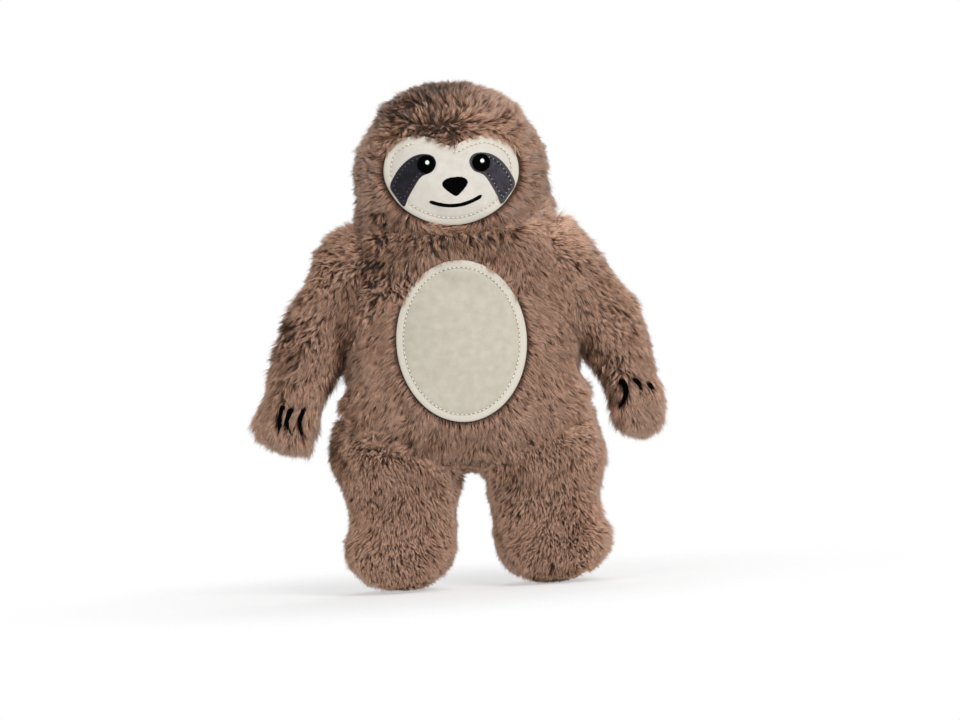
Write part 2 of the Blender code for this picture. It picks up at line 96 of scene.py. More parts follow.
def addNode(tree, kind, inputs=None, stops=(), **settings):
    node = tree.nodes.new("ShaderNode" + kind)
    for key, value in settings.items():
        setattr(node, key, value)
    feed(node, inputs or {})
    for k, (place, colour) in enumerate(stops):
        ramp = node.color_ramp.elements
        stop = ramp[k] if k < 2 else ramp.new(place)
        stop.position, stop.color = place, toLinear(colour)
    return node


def newMaterial(name, **values):
    material = bpy.data.materials.new(name)
    material.use_nodes = True
    shader = material.node_tree.nodes["Principled BSDF"]
    feed(shader, {key.replace("_", " "): value for key, value in values.items()})
    return material, material.node_tree, shader


def plushPile():
    # Polyester pile, cut and brushed into locks: dark down in the roots, pale and slightly
    # shiny at the split tips. U is the tone of a strand and V runs from its root to its tip.
    material, tree, shader = newMaterial(
        "plushPile", Roughness=0.85, Sheen_Weight=0.2, Sheen_Roughness=0.5, Specular_IOR_Level=0.1
    )
    parts = addNode(tree, "SeparateXYZ", {0: addNode(tree, "UVMap", uv_map="OFBake")})
    toneStops = ((0, "#35291f"), (1, "#ffffff"), (0.25, "#86725f"), (0.5, "#d3c4b8"))
    alongStops = ((0, "#51382a"), (1, "#ffe0ca"), (0.25, "#a3775e"), (0.56, "#edc3a8"))
    tone = addNode(tree, "ValToRGB", {0: parts.outputs["X"]}, toneStops)
    along = addNode(tree, "ValToRGB", {0: parts.outputs["Y"]}, alongStops)
    both = addNode(tree, "Mix", {0: 1.0, 6: along, 7: tone}, data_type="RGBA", blend_type="MULTIPLY")
    feed(shader, {"Base Color": both.outputs[2]})
    return material


def plushBacking():
    # Knitted backing of the plush, which shows as dark brown between the locks
    material, tree, shader = newMaterial("plushBacking", Roughness=0.95, Specular_IOR_Level=0.1)
    place = addNode(tree, "TexCoord").outputs["Object"]
    knit = addNode(tree, "TexNoise", {"Vector": place, "Scale": 1 / (1.6 * mm), "Detail": 2.0})
    colour = addNode(tree, "ValToRGB", {0: knit}, ((0.3, "#3a281d"), (0.7, "#5d4434")))
    bump = addNode(tree, "Bump", {"Height": knit, "Strength": 0.5, "Distance": 0.4 * mm})
    feed(shader, {"Base Color": colour, "Normal": bump})
    return material


def pressedFelt(name, pale, dark, fleck, fleckShare, rim):
    # Wool-mix felt, carded and pressed: matt, faintly mottled, with stray fibres of another tone.
    # The fibres are 0.02 mm thick, too fine to show, so they are drawn 0.5 mm across.
    material, tree, shader = newMaterial(
        name, Roughness=0.95, Sheen_Weight=0.08, Sheen_Roughness=0.6, Specular_IOR_Level=0.05
    )
    place = addNode(tree, "TexCoord").outputs["Object"]
    mottle = addNode(tree, "TexNoise", {"Vector": place, "Scale": 1 / (6 * mm), "Detail": 4.0})
    colour = addNode(tree, "ValToRGB", {0: mottle}, ((0.3, dark), (0.7, pale)))
    edge = addNode(tree, "Attribute", attribute_name="rim")
    colour = addNode(tree, "Mix", {0: edge.outputs["Fac"], 6: colour, 7: toLinear(rim)}, data_type="RGBA")
    tangle = {"Vector": place, "Scale": 1 / (0.5 * mm), "Detail": 1.0, "Distortion": 1.5}
    fibre = addNode(tree, "TexNoise", tangle)
    flecks = addNode(tree, "MapRange", {0: fibre, 1: 0.62, 2: 0.74, 3: 0.0, 4: fleckShare})
    both = addNode(tree, "Mix", {0: flecks, 6: colour.outputs[2], 7: toLinear(fleck)}, data_type="RGBA")
    bump = addNode(tree, "Bump", {"Height": fibre, "Strength": 0.35, "Distance": 0.15 * mm})
    feed(shader, {"Base Color": both.outputs[2], "Normal": bump})
    return material


def stitchThread(name, pale, dark, roughness, sheen, shine):
    # Spun polyester thread: two plies whose twist breaks the light into short glints
    material, tree, shader = newMaterial(
        name, Sheen_Weight=sheen, Sheen_Roughness=0.3, Specular_IOR_Level=shine
    )
    place = addNode(tree, "TexCoord").outputs["Object"]
    twist = addNode(tree, "TexNoise", {"Vector": place, "Scale": 1 / (0.4 * mm), "Detail": 1.0})
    colour = addNode(tree, "ValToRGB", {0: twist}, ((0.35, dark), (0.65, pale)))
    rough = addNode(tree, "MapRange", {0: twist, 1: 0.3, 2: 0.7, 3: roughness - 0.08, 4: roughness + 0.08})
    feed(shader, {"Base Color": colour, "Roughness": rough})
    return material


felts = {  # pale and dark mottle, flecks and their share, and the rim outside the stitching
    "creamFelt": ("#d2cdc4", "#c7c1b7", "#e4e0da", 0.4, "#d0cabe"),
    "bellyFelt": ("#c0baad", "#b4ad9d", "#d8d3c8", 0.45, "#cbc6b9"),
    # the lighter rim of the two charcoal felts is painted light, where the cut edge catches the light
    "charcoalFelt": ("#403c45", "#26232a", "#85828d", 0.6, "#444143"),
    # a darker copy of the charcoal felt, in painted shade, for one eye patch
    "shadyFelt": ("#24222a", "#141317", "#524f59", 0.5, "#28262a"),
    # painted shade in the needle holes between the stitches on the belly and face
    "needleHole": ("#8d8672", "#726b59", "#a39c8a", 0.3, "#7f7967"),
    "paleHole": ("#bab3a4", "#a7a090", "#cbc5b8", 0.3, "#b5ae9f"),
}
threads = {  # light and dark side of the twist, roughness, sheen and gloss
    "blackThread": ("#050505", "#010101", 0.8, 0.0, 0.02),
    "whiteThread": ("#ffffff", "#e8e8ea", 0.5, 0.2, 0.3),
    "creamThread": ("#f4efe4", "#ddd5c3", 0.6, 0.1, 0.2),
    # painted glints: pale specks between the eye patch stitches, the second a darker copy in painted shade
    "greyThread": ("#c9c8d2", "#8d8b97", 0.6, 0.1, 0.3),
    "dimThread": ("#76747e", "#4a4851", 0.6, 0.1, 0.2),
    "duskThread": ("#343139", "#222024", 0.6, 0.1, 0.1),
    # a darker copy of the dusk thread, in painted shade
    "nightThread": ("#232126", "#151417", 0.6, 0.1, 0.1),
}
materials = {"pile": plushPile(), "backing": plushBacking()}
for make, looks in ((pressedFelt, felts), (stitchThread, threads)):
    materials.update({name: make(name, *look) for name, look in looks.items()})
print("materials made")


# Small helpers for shapes
def unit(vectors):
    return vectors / np.maximum(np.linalg.norm(vectors, axis=-1, keepdims=True), 1e-9)


def smoothly(value, low, high):
    t = np.clip((value - low) / (high - low), 0, 1)
    return t * t * (3 - 2 * t)


def closedCurve(points, steps):
    points = np.array(points, float)
    a, b, c, d = (np.roll(points, k, 0)[:, None] for k in (1, 0, -1, -2))
    t = (np.arange(steps) / steps)[None, :, None]
    bent = 2 * a - 5 * b + 4 * c - d + t * (3 * b - 3 * c + d - a)
    return (b + 0.5 * t * (c - a + t * bent)).reshape(-1, 2)


def lengthsAlong(line):
    return np.concatenate(([0], np.cumsum(np.linalg.norm(np.diff(line, axis=0), axis=1))))


def readAt(at, reach, values):
    return np.column_stack([np.interp(at, reach, column) for column in values.T])


def evenly(path, spacing):
    line = np.vstack((path, path[:1]))
    reach = lengthsAlong(line)
    count = max(3, round(reach[-1] / spacing))
    return readAt(np.linspace(0, reach[-1], count + 1)[:count], reach, line)


def edgeDistance(points, outline):
    # How far each point lies outside the outline (negative inside), and the way out
    start, span = outline, np.roll(outline, -1, 0) - outline
    after = start + span
    far, way = np.empty(len(points)), np.empty((len(points), 2))
    for k in range(0, len(points), 8000):
        p = points[k : k + 8000]
        rel = p[:, None] - start
        t = np.clip((rel * span).sum(-1) / np.maximum((span**2).sum(-1), 1e-18), 0, 1)
        gap = rel - t[..., None] * span
        reach = (gap**2).sum(-1)
        near = reach.argmin(1)
        rows = np.arange(len(p))
        d = np.sqrt(reach[rows, near])
        crossing = (start[:, 1] > p[:, None, 1]) != (after[:, 1] > p[:, None, 1])
        slope = (p[:, None, 1] - start[:, 1]) / np.where(span[:, 1] == 0, 1e-12, span[:, 1])
        inside = (crossing & (p[:, None, 0] < start[:, 0] + slope * span[:, 0])).sum(1) % 2 == 1
        sign = np.where(inside, -1.0, 1.0)
        far[k : k + 8000] = d * sign
        way[k : k + 8000] = gap[rows, near] / np.maximum(d, 1e-9)[:, None] * sign[:, None]
    return far, way


def waves(points, size, seed):
    # Smooth noise of about one over features of the given size, from a few summed sines
    rng = np.random.default_rng(seed)
    total = np.zeros((len(points), 3))
    for _ in range(6):
        pitch = rng.normal(size=3) * math.tau / size * 0.6
        total += np.sin(points @ pitch + rng.uniform(0, math.tau))[:, None] * rng.normal(size=3)
    return total / 2.4


def pieceFrom(name, vertices, corners, sizes, material, smooth=True):
    mesh = bpy.data.meshes.new(name)
    mesh.vertices.add(len(vertices))
    mesh.vertices.foreach_set("co", vertices.ravel())
    mesh.loops.add(len(corners))
    mesh.loops.foreach_set("vertex_index", np.array(corners, np.int32))
    mesh.polygons.add(len(sizes))
    mesh.polygons.foreach_set("loop_start", np.concatenate(([0], np.cumsum(sizes)[:-1])).astype(np.int32))
    mesh.update(calc_edges=True)
    mesh.polygons.foreach_set("use_smooth", np.full(len(sizes), smooth))
    mesh.materials.append(materials[material])
    return addItem(name, mesh)


def meshOf(name, vertices, faces, material, smooth=True):
    corners = [k for face in faces for k in face]
    return pieceFrom(name, np.array(vertices, float), corners, [len(face) for face in faces], material, smooth)


def tubes(name, paths, radii, material, sides=6):
    # One mesh of round threads, closed at both ends. paths is (thread, point, xyz), radii one or one a point.
    paths = np.array(paths, float)
    count, steps = paths.shape[:2]
    along = unit(np.gradient(paths, axis=1))
    side = unit(np.cross(along, (0.0, -1.0, 0.0)))
    rise = np.cross(side, along)
    turns = np.arange(sides) / sides * math.tau
    ring = side[:, :, None] * np.cos(turns)[:, None] + rise[:, :, None] * np.sin(turns)[:, None]
    radii = np.broadcast_to(radii, (count, steps))[:, :, None, None]
    faces = [
        (s + k, s + sides + k, s + sides + (k + 1) % sides, s + (k + 1) % sides)
        for s in range(0, (steps - 1) * sides, sides) for k in range(sides)
    ]
    faces += [range(sides), range(steps * sides - 1, (steps - 1) * sides - 1, -1)]
    every = [[i * steps * sides + k for k in face] for i in range(count) for face in faces]
    return meshOf(name, (paths[:, :, None] + ring * radii).reshape(-1, 3), every, material)


# Sacks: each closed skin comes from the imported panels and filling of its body
sackNames = ("torso", "head", "left_arm", "right_arm", "left_leg", "right_leg")
sackParts = ("front_panel", "back_panel", "stuffing")
skinShape = {
    "voxel": 2.6 * mm,
    "relaxRounds": 26,
    "sink": 2.2 * mm,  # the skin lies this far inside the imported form, so that the tips stand proud of it
    "fill": 0.7,
}


def readAll(items, key, width=3, kind=float):
    values = np.empty(len(items) * width, kind)
    items.foreach_get(key, values)
    return values.reshape(-1, width)


def trianglesOf(mesh):
    mesh.calc_loop_triangles()
    return readAll(mesh.loop_triangles, "vertices", kind=int)


def movePoints(mesh, co):
    mesh.vertices.foreach_set("co", co.ravel())
    mesh.update()


def sumsBy(owner, values, count):
    return np.column_stack([np.bincount(owner, column, count) for column in values.T])


def relax(mesh, rounds):
    co = readAll(mesh.vertices, "co")
    a, b = readAll(mesh.edges, "vertices", 2, int).T
    ends, others = np.concatenate((a, b)), np.concatenate((b, a))
    count = np.bincount(ends, minlength=len(co))[:, None]
    for _ in range(rounds):
        for push in (0.6, -0.62):
            co += push * (sumsBy(ends, co[others], len(co)) / count - co)
    movePoints(mesh, co)


def remeshed(name, mesh, voxel):
    item = addItem(name, mesh)
    remesh = item.modifiers.new("remesh", "REMESH")
    remesh.mode, remesh.voxel_size = "VOXEL", voxel
    result = bpy.data.meshes.new_from_object(item.evaluated_get(bpy.context.evaluated_depsgraph_get()))
    bpy.data.objects.remove(item)
    return result


def closedSkin(name):
    joined = bmesh.new()
    for part in sackParts:
        joined.from_mesh(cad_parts[f"{name}_{part}"].data)
    mesh = bpy.data.meshes.new(name)
    joined.to_mesh(mesh)
    joined.free()
    skin = remeshed(name, mesh, skinShape["voxel"])
    whole = bmesh.new()
    whole.from_mesh(skin)
    seen, islands = set(), []
    for vert in whole.verts:
        if vert not in seen:
            seen.add(vert)
            islands.append([vert])
            for here in islands[-1]:  # the island grows while it is walked
                fresh = {edge.other_vert(here) for edge in here.link_edges} - seen
                seen |= fresh
                islands[-1] += fresh
    outer = set(max(islands, key=len))  # hollows between the solids are islands of their own
    bmesh.ops.delete(whole, geom=[v for v in whole.verts if v not in outer], context="VERTS")
    whole.to_mesh(skin)
    whole.free()
    relax(skin, skinShape["relaxRounds"])
    return skin


middle = 6.65 * mm  # the side seams lie in this plane

# Where the filling swells a sack at its side seams, in mm: place in x and z, reach, and how far
# the skin moves in x and z
seamSwells = {
    "head": (
        (-70, 253, 11, -6, -2), (-66, 256, 9, -1, -1.5), (70, 254, 11, 7.5, -2), (-69, 268, 12, 3, 0),
        (-57, 321, 13, 5.5, -1.5), (-68, 296, 18, 1.5, 0), (70, 272, 11, -1, 0), (-8, 342, 26, 0, 1.5),
        (-32, 340, 12, 0, -1), (-43, 331, 9, 0.5, 0), (56, 318, 14, -2, -1), (36, 341, 11, 0, -0.5),
    ),
    "torso": (
        (76, 123, 9, 6, 0), (84, 143, 12, -4, 0), (-76, 122, 9, -6, 0), (-86, 142, 11, 4, 0),
        (0, 78, 12, 0, 2.5),
    ),
    "left_arm": (
        (98, 228, 28, -4, -1.5), (77, 247, 12, 0, 4.5), (103, 223, 10, 2.5, 1), (114, 208, 9, -3, 0),
        (121, 190, 9, 2.5, 0), (131, 140, 12, -2.5, 0), (141, 130, 34, -3, 0), (138, 110, 10, -1, 0),
        (98, 97, 8, 3, 2), (136, 98, 10, -2.5, 2), (120, 93, 9, 0, -2), (140, 107, 9, -2.5, 0),
    ),
    "right_arm": (
        (-76, 247, 12, -1, 4), (-68, 250, 9, 3, 1.5), (-92, 242, 9, -4, 0), (-104, 219, 9, 1.5, 0),
        (-131, 166, 24, -1.8, 0), (-146, 124, 15, -8, 0), (-98, 128, 14, -2, 0), (-101, 109, 10, -4, 0),
        (-139, 102, 9, 4.5, 2), (-124, 97, 14, 0, 2),
    ),
    "left_leg": (
        (88, 113, 11, -1, 3), (83, 119, 8, 3, 1), (92, 104, 10, -2, 0), (90, 82, 16, 2.5, 0),
        (88, 32, 26, 3.2, 0), (14, 74, 12, 2, 0), (82, 4, 11, -4, 4), (26, 4, 10, 3, 3),
        (70, 0, 11, -2, 3.5), (34, 0, 9, 2, 2.5),
    ),
    "right_leg": (
        (-90, 111, 11, -2, 3), (-84, 120, 8, -3.5, 1), (-93, 90, 14, -4.5, 0), (-62, 30, 45, 3.2, 0),
        (-10, 72, 9, 3, 0), (-80, 5, 11, 5, 4), (-68, 0, 12, 2, 4), (-24, 6, 11, -5.5, 4), (-36, 0, 9, -2, 2.5),
    ),
}

# The same in front, with y counted from the seams, and mirrored behind
frontSwells = {
    "torso": (
        (-32, -33, 241, 21, 0, -8, 2), (0, -36, 241, 21, 0, -8, 2), (32, -33, 241, 21, 0, -8, 2),
        (-58, -20, 240, 15, 0, -6, 3), (58, -20, 240, 15, 0, -6, 3), (-46, -46, 97, 18, 0, 5, 0),
        (0, -50, 92, 18, 0, 4, 1.5), (46, -46, 97, 18, 0, 5, 0), (80, -14, 124, 11, 5.5, 0, 0),
        (-80, -14, 123, 11, -6, 0, 0),
    ),
    "left_leg": ((28, -30, 90, 19, 0, -8, 0), (62, -32, 94, 19, 0, -8.5, 0)),
    "right_leg": ((-28, -30, 90, 19, 0, -8, 0), (-62, -32, 94, 19, 0, -8.5, 0)),
}
lumps = {"size": 26 * mm, "height": 0.8 * mm, "seed": 3}  # the filling is never quite even


def fillSkin(name, mesh):
    rows = [(x, 0, z, reach, out, 0, rise) for x, z, reach, out, rise in seamSwells[name]]
    for x, y, z, reach, out, fore, rise in frontSwells.get(name, ()):
        rows += [(x, y, z, reach, out, fore, rise), (x, -y, z, reach, out, -fore, rise)]
    co = readAll(mesh.vertices, "co")
    for x, y, z, reach, *push in rows:
        place = np.array((x * mm, middle + y * mm, z * mm))
        far = np.linalg.norm((co - place) * (1, 0.7, 1), axis=1)
        co += np.exp(-((far / (reach * mm)) ** 2))[:, None] * np.array(push) * mm
    movePoints(mesh, co)
    lift = readAll(mesh.vertices, "normal") * waves(co, lumps["size"], lumps["seed"])[:, :1]
    movePoints(mesh, co + lift * lumps["height"])


def gapsToOthers(name, points, limit=12 * mm):
    # How far each point is from the other sacks, negative inside one
    gaps = np.full(len(points), limit)
    for other, tree in trees.items():
        if other == name:
            continue
        for k, point in enumerate(points):
            place, facing, _, gap = tree.find_nearest(Vector(point), limit)
            if place is not None:
                gaps[k] = min(gaps[k], gap if (Vector(point) - place).dot(facing) > 0 else -gap)
    return gaps


# The filling pumps each sack up as cloth, which is held where it meets the others
cloth = {
    "voxel": 5 * mm,
    "pressure": 4.0,
    "frames": 20,
    "cap": 2.2 * mm,
    "heldWithin": 5 * mm,
    "blur": 0.5 * mm,
}


def pointTree(places):
    tree = kdtree.KDTree(len(places))
    for k, place in enumerate(places):
        tree.insert(place, k)
    tree.balance()
    return tree


def pumpUp(name, mesh):
    scene = bpy.context.scene
    item = addItem("pumped", remeshed("pumped", mesh.copy(), cloth["voxel"]))
    start = readAll(item.data.vertices, "co")
    held = item.vertex_groups.new(name="held")
    held.add(np.flatnonzero(gapsToOthers(name, start) < cloth["heldWithin"]).tolist(), 1.0, "REPLACE")
    air = item.modifiers.new("cloth", "CLOTH")
    air.settings.use_pressure = True
    air.settings.uniform_pressure_force = cloth["pressure"]
    air.settings.vertex_group_mass = "held"
    air.settings.effector_weights.gravity = 0
    air.point_cache.frame_start, air.point_cache.frame_end = 1, cloth["frames"]
    for number in range(1, cloth["frames"] + 1):
        scene.frame_set(number)
    result = item.evaluated_get(bpy.context.evaluated_depsgraph_get()).data
    moved = readAll(result.vertices, "co") - start
    scene.frame_set(1)
    bpy.data.objects.remove(item)
    print("pumped up", name, len(start), "points, most", round(float(np.abs(moved).max() / mm), 1), "mm")
    moved -= moved.mean(0)
    moved *= np.minimum(1, cloth["cap"] / np.maximum(np.linalg.norm(moved, axis=1, keepdims=True), 1e-9))
    tree = pointTree(start)
    co, normals = (readAll(mesh.vertices, key) for key in ("co", "normal"))
    shift = np.empty_like(co)
    for k, place in enumerate(co):
        near = tree.find_n(place, 4)
        share = np.array([1 / (far + cloth["blur"]) for _, _, far in near])
        shift[k] = share @ moved[[i for _, i, _ in near]] / share.sum()
    out = (shift * normals).sum(1, keepdims=True)
    movePoints(mesh, co + (shift - out.mean() * normals))  # the sack keeps its measured size
    relax(mesh, 3)


def skinTrees():
    return {
        name: BVHTree.FromPolygons(readAll(mesh.vertices, "co").tolist(), trianglesOf(mesh).tolist())
        for name, mesh in skins.items()
    }


skins = {name: closedSkin(name) for name in sackNames}
for name, mesh in skins.items():
    fillSkin(name, mesh)
trees = skinTrees()
for name, mesh in skins.items():
    pumpUp(name, mesh)
trees = skinTrees()
print("skins made", {name: len(mesh.vertices) for name, mesh in skins.items()})


# The front of a skin as a height field, so that felt and thread lie on a smooth surface
def nextTo(field, **edge):
    padded = np.pad(field, 1, **edge)
    return np.stack((padded[2:, 1:-1], padded[:-2, 1:-1], padded[1:-1, 2:], padded[1:-1, :-2]))


def frontField(name, step=1.5 * mm):
    co = readAll(skins[name].vertices, "co")
    low, high = co.min(0), co.max(0)
    xs, zs = np.arange(low[0], high[0], step), np.arange(low[2], high[2], step)
    field = np.full((len(xs), len(zs)), np.nan)
    for i, x in enumerate(xs):
        for j, z in enumerate(zs):
            hit = trees[name].ray_cast(Vector((x, low[1] - 0.02, z)), Vector((0, 1, 0)))
            if hit[0] is not None:
                field[i, j] = hit[0].y
    for _ in range(12):  # past the outline the front goes on at the height of its rim
        near = nextTo(field, constant_values=np.nan)
        known = ~np.isnan(near)
        filled = np.where(known.any(0), np.nansum(near, 0) / np.maximum(known.sum(0), 1), np.nan)
        field = np.where(np.isnan(field), filled, field)
    field = np.where(np.isnan(field), np.nanmax(field), field)
    for _ in range(5):
        field = sum(nextTo(field, mode="edge"), 4 * field) / 8
    return {"x": xs[0], "z": zs[0], "step": step, "y": field}


def fieldHeight(field, points):
    y = field["y"]
    u = np.clip((points[:, 0] - field["x"]) / field["step"], 0, y.shape[0] - 1.001)
    v = np.clip((points[:, 1] - field["z"]) / field["step"], 0, y.shape[1] - 1.001)
    i, j = u.astype(int), v.astype(int)
    s, t = u - i, v - j
    return (y[i, j] * (1 - s) + y[i + 1, j] * s) * (1 - t) + (y[i, j + 1] * (1 - s) + y[i + 1, j + 1] * s) * t


def onFront(field, points, offset, nudge=1.5 * mm):
    # Points in x and z, set off the skin by the offset along its normal
    points = np.array(points, float).reshape(-1, 2)
    slopes = [
        (fieldHeight(field, points + way) - fieldHeight(field, points - way)) / (2 * nudge)
        for way in np.eye(2) * nudge
    ]
    stretch = np.minimum(np.sqrt(1 + slopes[0] ** 2 + slopes[1] ** 2), 1.8)
    return np.column_stack((points[:, 0], fieldHeight(field, points) - offset * stretch, points[:, 1]))


fields = {name: frontField(name) for name in ("torso", "head", "left_arm", "right_arm")}
print("front surfaces read")

# Outlines of the face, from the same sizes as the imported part
faceShape = {
    "base": 249.4 * mm,
    "width": 92 * mm,
    "height": 61 * mm,
    "patch": (
        (0.00, 0.00), (0.37, 0.05), (0.72, 0.20), (0.945, 0.43), (1.00, 0.62),
        (0.935, 0.82), (0.76, 0.94), (0.52, 1.00), (0.26, 0.965), (0.00, 0.885),
    ),
    "eyePatch": (
        (0.245, 0.705), (0.31, 0.61), (0.465, 0.555), (0.58, 0.435), (0.665, 0.325), (0.725, 0.235),
        (0.835, 0.335), (0.925, 0.45), (0.875, 0.565), (0.75, 0.70), (0.595, 0.785), (0.425, 0.81),
        (0.295, 0.785),
    ),
    "leftEye": (21.2 * mm, 290.7 * mm),
    "rightEye": (-16.1 * mm, 291.9 * mm),
    "eyeDiameter": 12.0 * mm,
    "glintDiameter": 2.6 * mm,
    "glintOffset": (0.7 * mm, 1.1 * mm),
    "noseWidth": 17.8 * mm,
    "noseLength": 12.6 * mm,
    "noseTop": (2.3 * mm, 282.1 * mm),
    "nose": (
        (0.00, 0.00), (0.42, -0.02), (0.80, -0.13), (0.98, -0.34), (0.80, -0.59), (0.36, -0.88),
        (0.00, -1.04),
    ),
    "mouthMiddle": (2.35 * mm, 262.8 * mm),
    "mouthWidth": 35.2 * mm,
    "mouthRise": 4.6 * mm,
    "mouthSlant": 0.8 * mm,  # how much higher it ends on one side
    "mouthThread": 2.5 * mm,
}


def facePoint(across, rise):
    return across * faceShape["width"] / 2, faceShape["base"] + rise * faceShape["height"]


def bothSides(right):
    return list(right) + [(-x, z) for x, z in list(right)[-2:0:-1]]


def ring(x, z, width, height=None, count=72):
    turns = np.arange(count) / count * math.tau
    return np.column_stack((x + width / 2 * np.cos(turns), z + (height or width) / 2 * np.sin(turns)))


faceTurn = {"angle": math.radians(3.4), "pivot": 279 * mm}  # the felt is sewn on a little turned


def turnFace(points, shift=0.0):
    c, s = math.cos(faceTurn["angle"]), math.sin(faceTurn["angle"])
    x, rise = points[:, 0] + shift, points[:, 1] - faceTurn["pivot"]
    return np.column_stack((x * c + rise * s, faceTurn["pivot"] + rise * c - x * s))


noseHalf = [(x * faceShape["noseWidth"] / 2, z * faceShape["noseLength"]) for x, z in faceShape["nose"]]
outlines = {
    "bellyPatch": ring(0, 170.5 * mm, 89 * mm, 110 * mm, 160),
    "facePatch": turnFace(closedCurve(bothSides([facePoint(*p) for p in faceShape["patch"]]), 10)),
    "nose": closedCurve(bothSides(noseHalf), 8)
    @ np.array(((0.999, 0.044), (-0.044, 0.999)))  # it sits a little turned
    + faceShape["noseTop"],
}
sides = {"left": 1, "right": -1}
for word, side in sides.items():
    patch = closedCurve([facePoint(*p) for p in faceShape["eyePatch"]], 8)
    if word == "left":
        patch[:, 0] -= 0.3 * mm * smoothly(patch[:, 0], 18 * mm, 30 * mm)
    else:  # this one sits a little lower
        patch[:, 1] -= 0.9 * mm + 0.7 * mm * smoothly(patch[:, 0], 20 * mm, 34 * mm)
    outlines[word + "EyePatch"] = turnFace(patch * (side, 1), 1.1 * mm)
    x, z = faceShape[word + "Eye"]
    outlines[word + "Eye"] = ring(x, z, faceShape["eyeDiameter"])
    x, z = x + faceShape["glintOffset"][0], z + faceShape["glintOffset"][1]
    outlines[word + "EyeHighlight"] = ring(x, z, faceShape["glintDiameter"], count=24)

# Claws, from the inner one outward: root, middle and point in x and z, and the width at root and point, in mm
clawShape = {
    "left": (
        (((106.4, 136.4), (110.0, 127.6), (104.6, 117.4)), (3.8, 1.1)),
        (((116.0, 136.6), (120.3, 127.4), (114.6, 118.2)), (2.8, 0.9)),
        (((125.6, 132.6), (128.6, 125.2), (123.8, 117.0)), (2.4, 0.9)),
    ),
    "right": (
        (((-110.2, 130.8), (-114.0, 122.6), (-113.0, 112.6)), (3.0, 0.8)),
        (((-118.4, 131.0), (-122.8, 122.8), (-119.8, 113.0)), (4.0, 0.9)),
        (((-124.8, 133.4), (-127.4, 125.6), (-127.8, 117.4)), (3.9, 2.3)),
    ),
}


def clawLine(word, number, count=24):
    points, (topWidth, tipWidth) = clawShape[word][number]
    root, bend, tip = np.array(points) * mm
    share = np.linspace(0, 1, count)[:, None]
    pull = 2 * bend - (root + tip) / 2
    line = (1 - share) ** 2 * root + 2 * share * (1 - share) * pull + share**2 * tip
    share = share[:, 0]
    half = (topWidth + (tipWidth - topWidth) * share**1.5) * mm / 2 * np.minimum(1, 0.6 + share * 6)
    return line, half


def bandOutline(line, half):
    along = unit(np.gradient(line, axis=0))
    out = np.column_stack((-along[:, 1], along[:, 0])) * half[:, None]
    return np.vstack((line + out, (line - out)[::-1]))


for word in sides:
    for number in range(3):
        line, half = clawLine(word, number)
        outlines[f"{word}Claw{number + 1}"] = bandOutline(line, half)
        outlines[f"{word}Claw{number + 1}Top"] = bandOutline(line[:5], half[:5])


# Felt: a pressed sheet with a rounded cut edge, drawn in where it is stitched
feltShape = {
    "gap": 0.25 * mm,
    "thick": 1.2 * mm,
    "edge": 0.7 * mm,
    "grid": 1.7 * mm,
    "rimStep": 1.1 * mm,
    "channel": 0.6 * mm,
    "channelHalf": 1.1 * mm,
    "puff": 0.5 * mm,
    "puffWithin": 14 * mm,
}


def inwards(outline, depth):
    along = unit(np.roll(outline, -1, 0) - np.roll(outline, 1, 0))
    normal = np.column_stack((along[:, 1], -along[:, 0]))
    area = (outline[:, 0] * np.roll(outline[:, 1], -1) - np.roll(outline[:, 0], -1) * outline[:, 1]).sum()
    moved = outline - normal * depth * np.sign(area)
    reach, _ = edgeDistance(moved, outline)
    return moved[reach < -0.9 * depth]


def feltSheet(name, body, lift, material, stitched, thick=feltShape["thick"], puff=feltShape["puff"]):
    outline = evenly(outlines[name], feltShape["rimStep"])
    (lowX, lowZ), (highX, highZ) = outline.min(0), outline.max(0)
    step, half = feltShape["grid"], feltShape["channelHalf"]
    inner = np.array([
        (x + (k % 2) * step / 2, z)
        for k, z in enumerate(np.arange(lowZ, highZ, step * 0.87)) for x in np.arange(lowX, highX, step)
    ])
    depth = -edgeDistance(inner, outline)[0]
    inner = inner[(depth > 1.2 * mm) & (np.abs(depth - stitched) >= 1.6 * mm)]
    rims = [0.25 * feltShape["edge"], feltShape["edge"]]
    rims += [stitched + aside for aside in (-half, -0.4 * mm, 0.4 * mm, half)]
    points = np.vstack([outline, inner] + [inwards(outline, rim) for rim in rims])
    loop = [(k, (k + 1) % len(outline)) for k in range(len(outline))]
    flat, _, faces, *_ = delaunay_2d_cdt([Vector(p) for p in points], loop, [], 1, 1e-6)
    flat = np.array([tuple(p) for p in flat])
    depth = -edgeDistance(flat, outline)[0]
    rounded = np.sqrt(np.clip(1 - (1 - np.clip(depth / feltShape["edge"], 0, 1)) ** 2, 0, 1))
    height = thick * (0.45 + 0.55 * rounded) + puff * smoothly(depth, 0, feltShape["puffWithin"])
    height -= feltShape["channel"] * np.exp(-(((depth - stitched) / (0.6 * mm)) ** 2))
    height += waves(np.column_stack((flat, flat[:, 0] * 0)), 9 * mm, 5)[:, 0] * 0.06 * mm
    vertices = np.vstack([onFront(fields[body], flat, out) for out in (lift + height, lift)])
    n = len(flat)
    solid, edges = [], {}
    for face in faces:
        a, b, c = (flat[k] for k in face)
        if (b[0] - a[0]) * (c[1] - a[1]) - (b[1] - a[1]) * (c[0] - a[0]) < 0:
            face = face[::-1]
        solid += [face, [k + n for k in reversed(face)]]
        edges.update(dict.fromkeys(zip(face, face[1:] + face[:1])))
    solid += [(b, a, a + n, b + n) for a, b in edges if (b, a) not in edges]
    sheet = meshOf(name, vertices, solid, material)
    rim = sheet.data.attributes.new("rim", "FLOAT", "POINT")
    rim.data.foreach_set("value", np.tile(1 - smoothly(depth, stitched - 0.5 * mm, stitched + 1.5 * mm), 2))
    return sheet


def wear(piece, body, slot, *nodes):
    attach(piece, body)
    if nodes:
        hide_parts(*nodes)


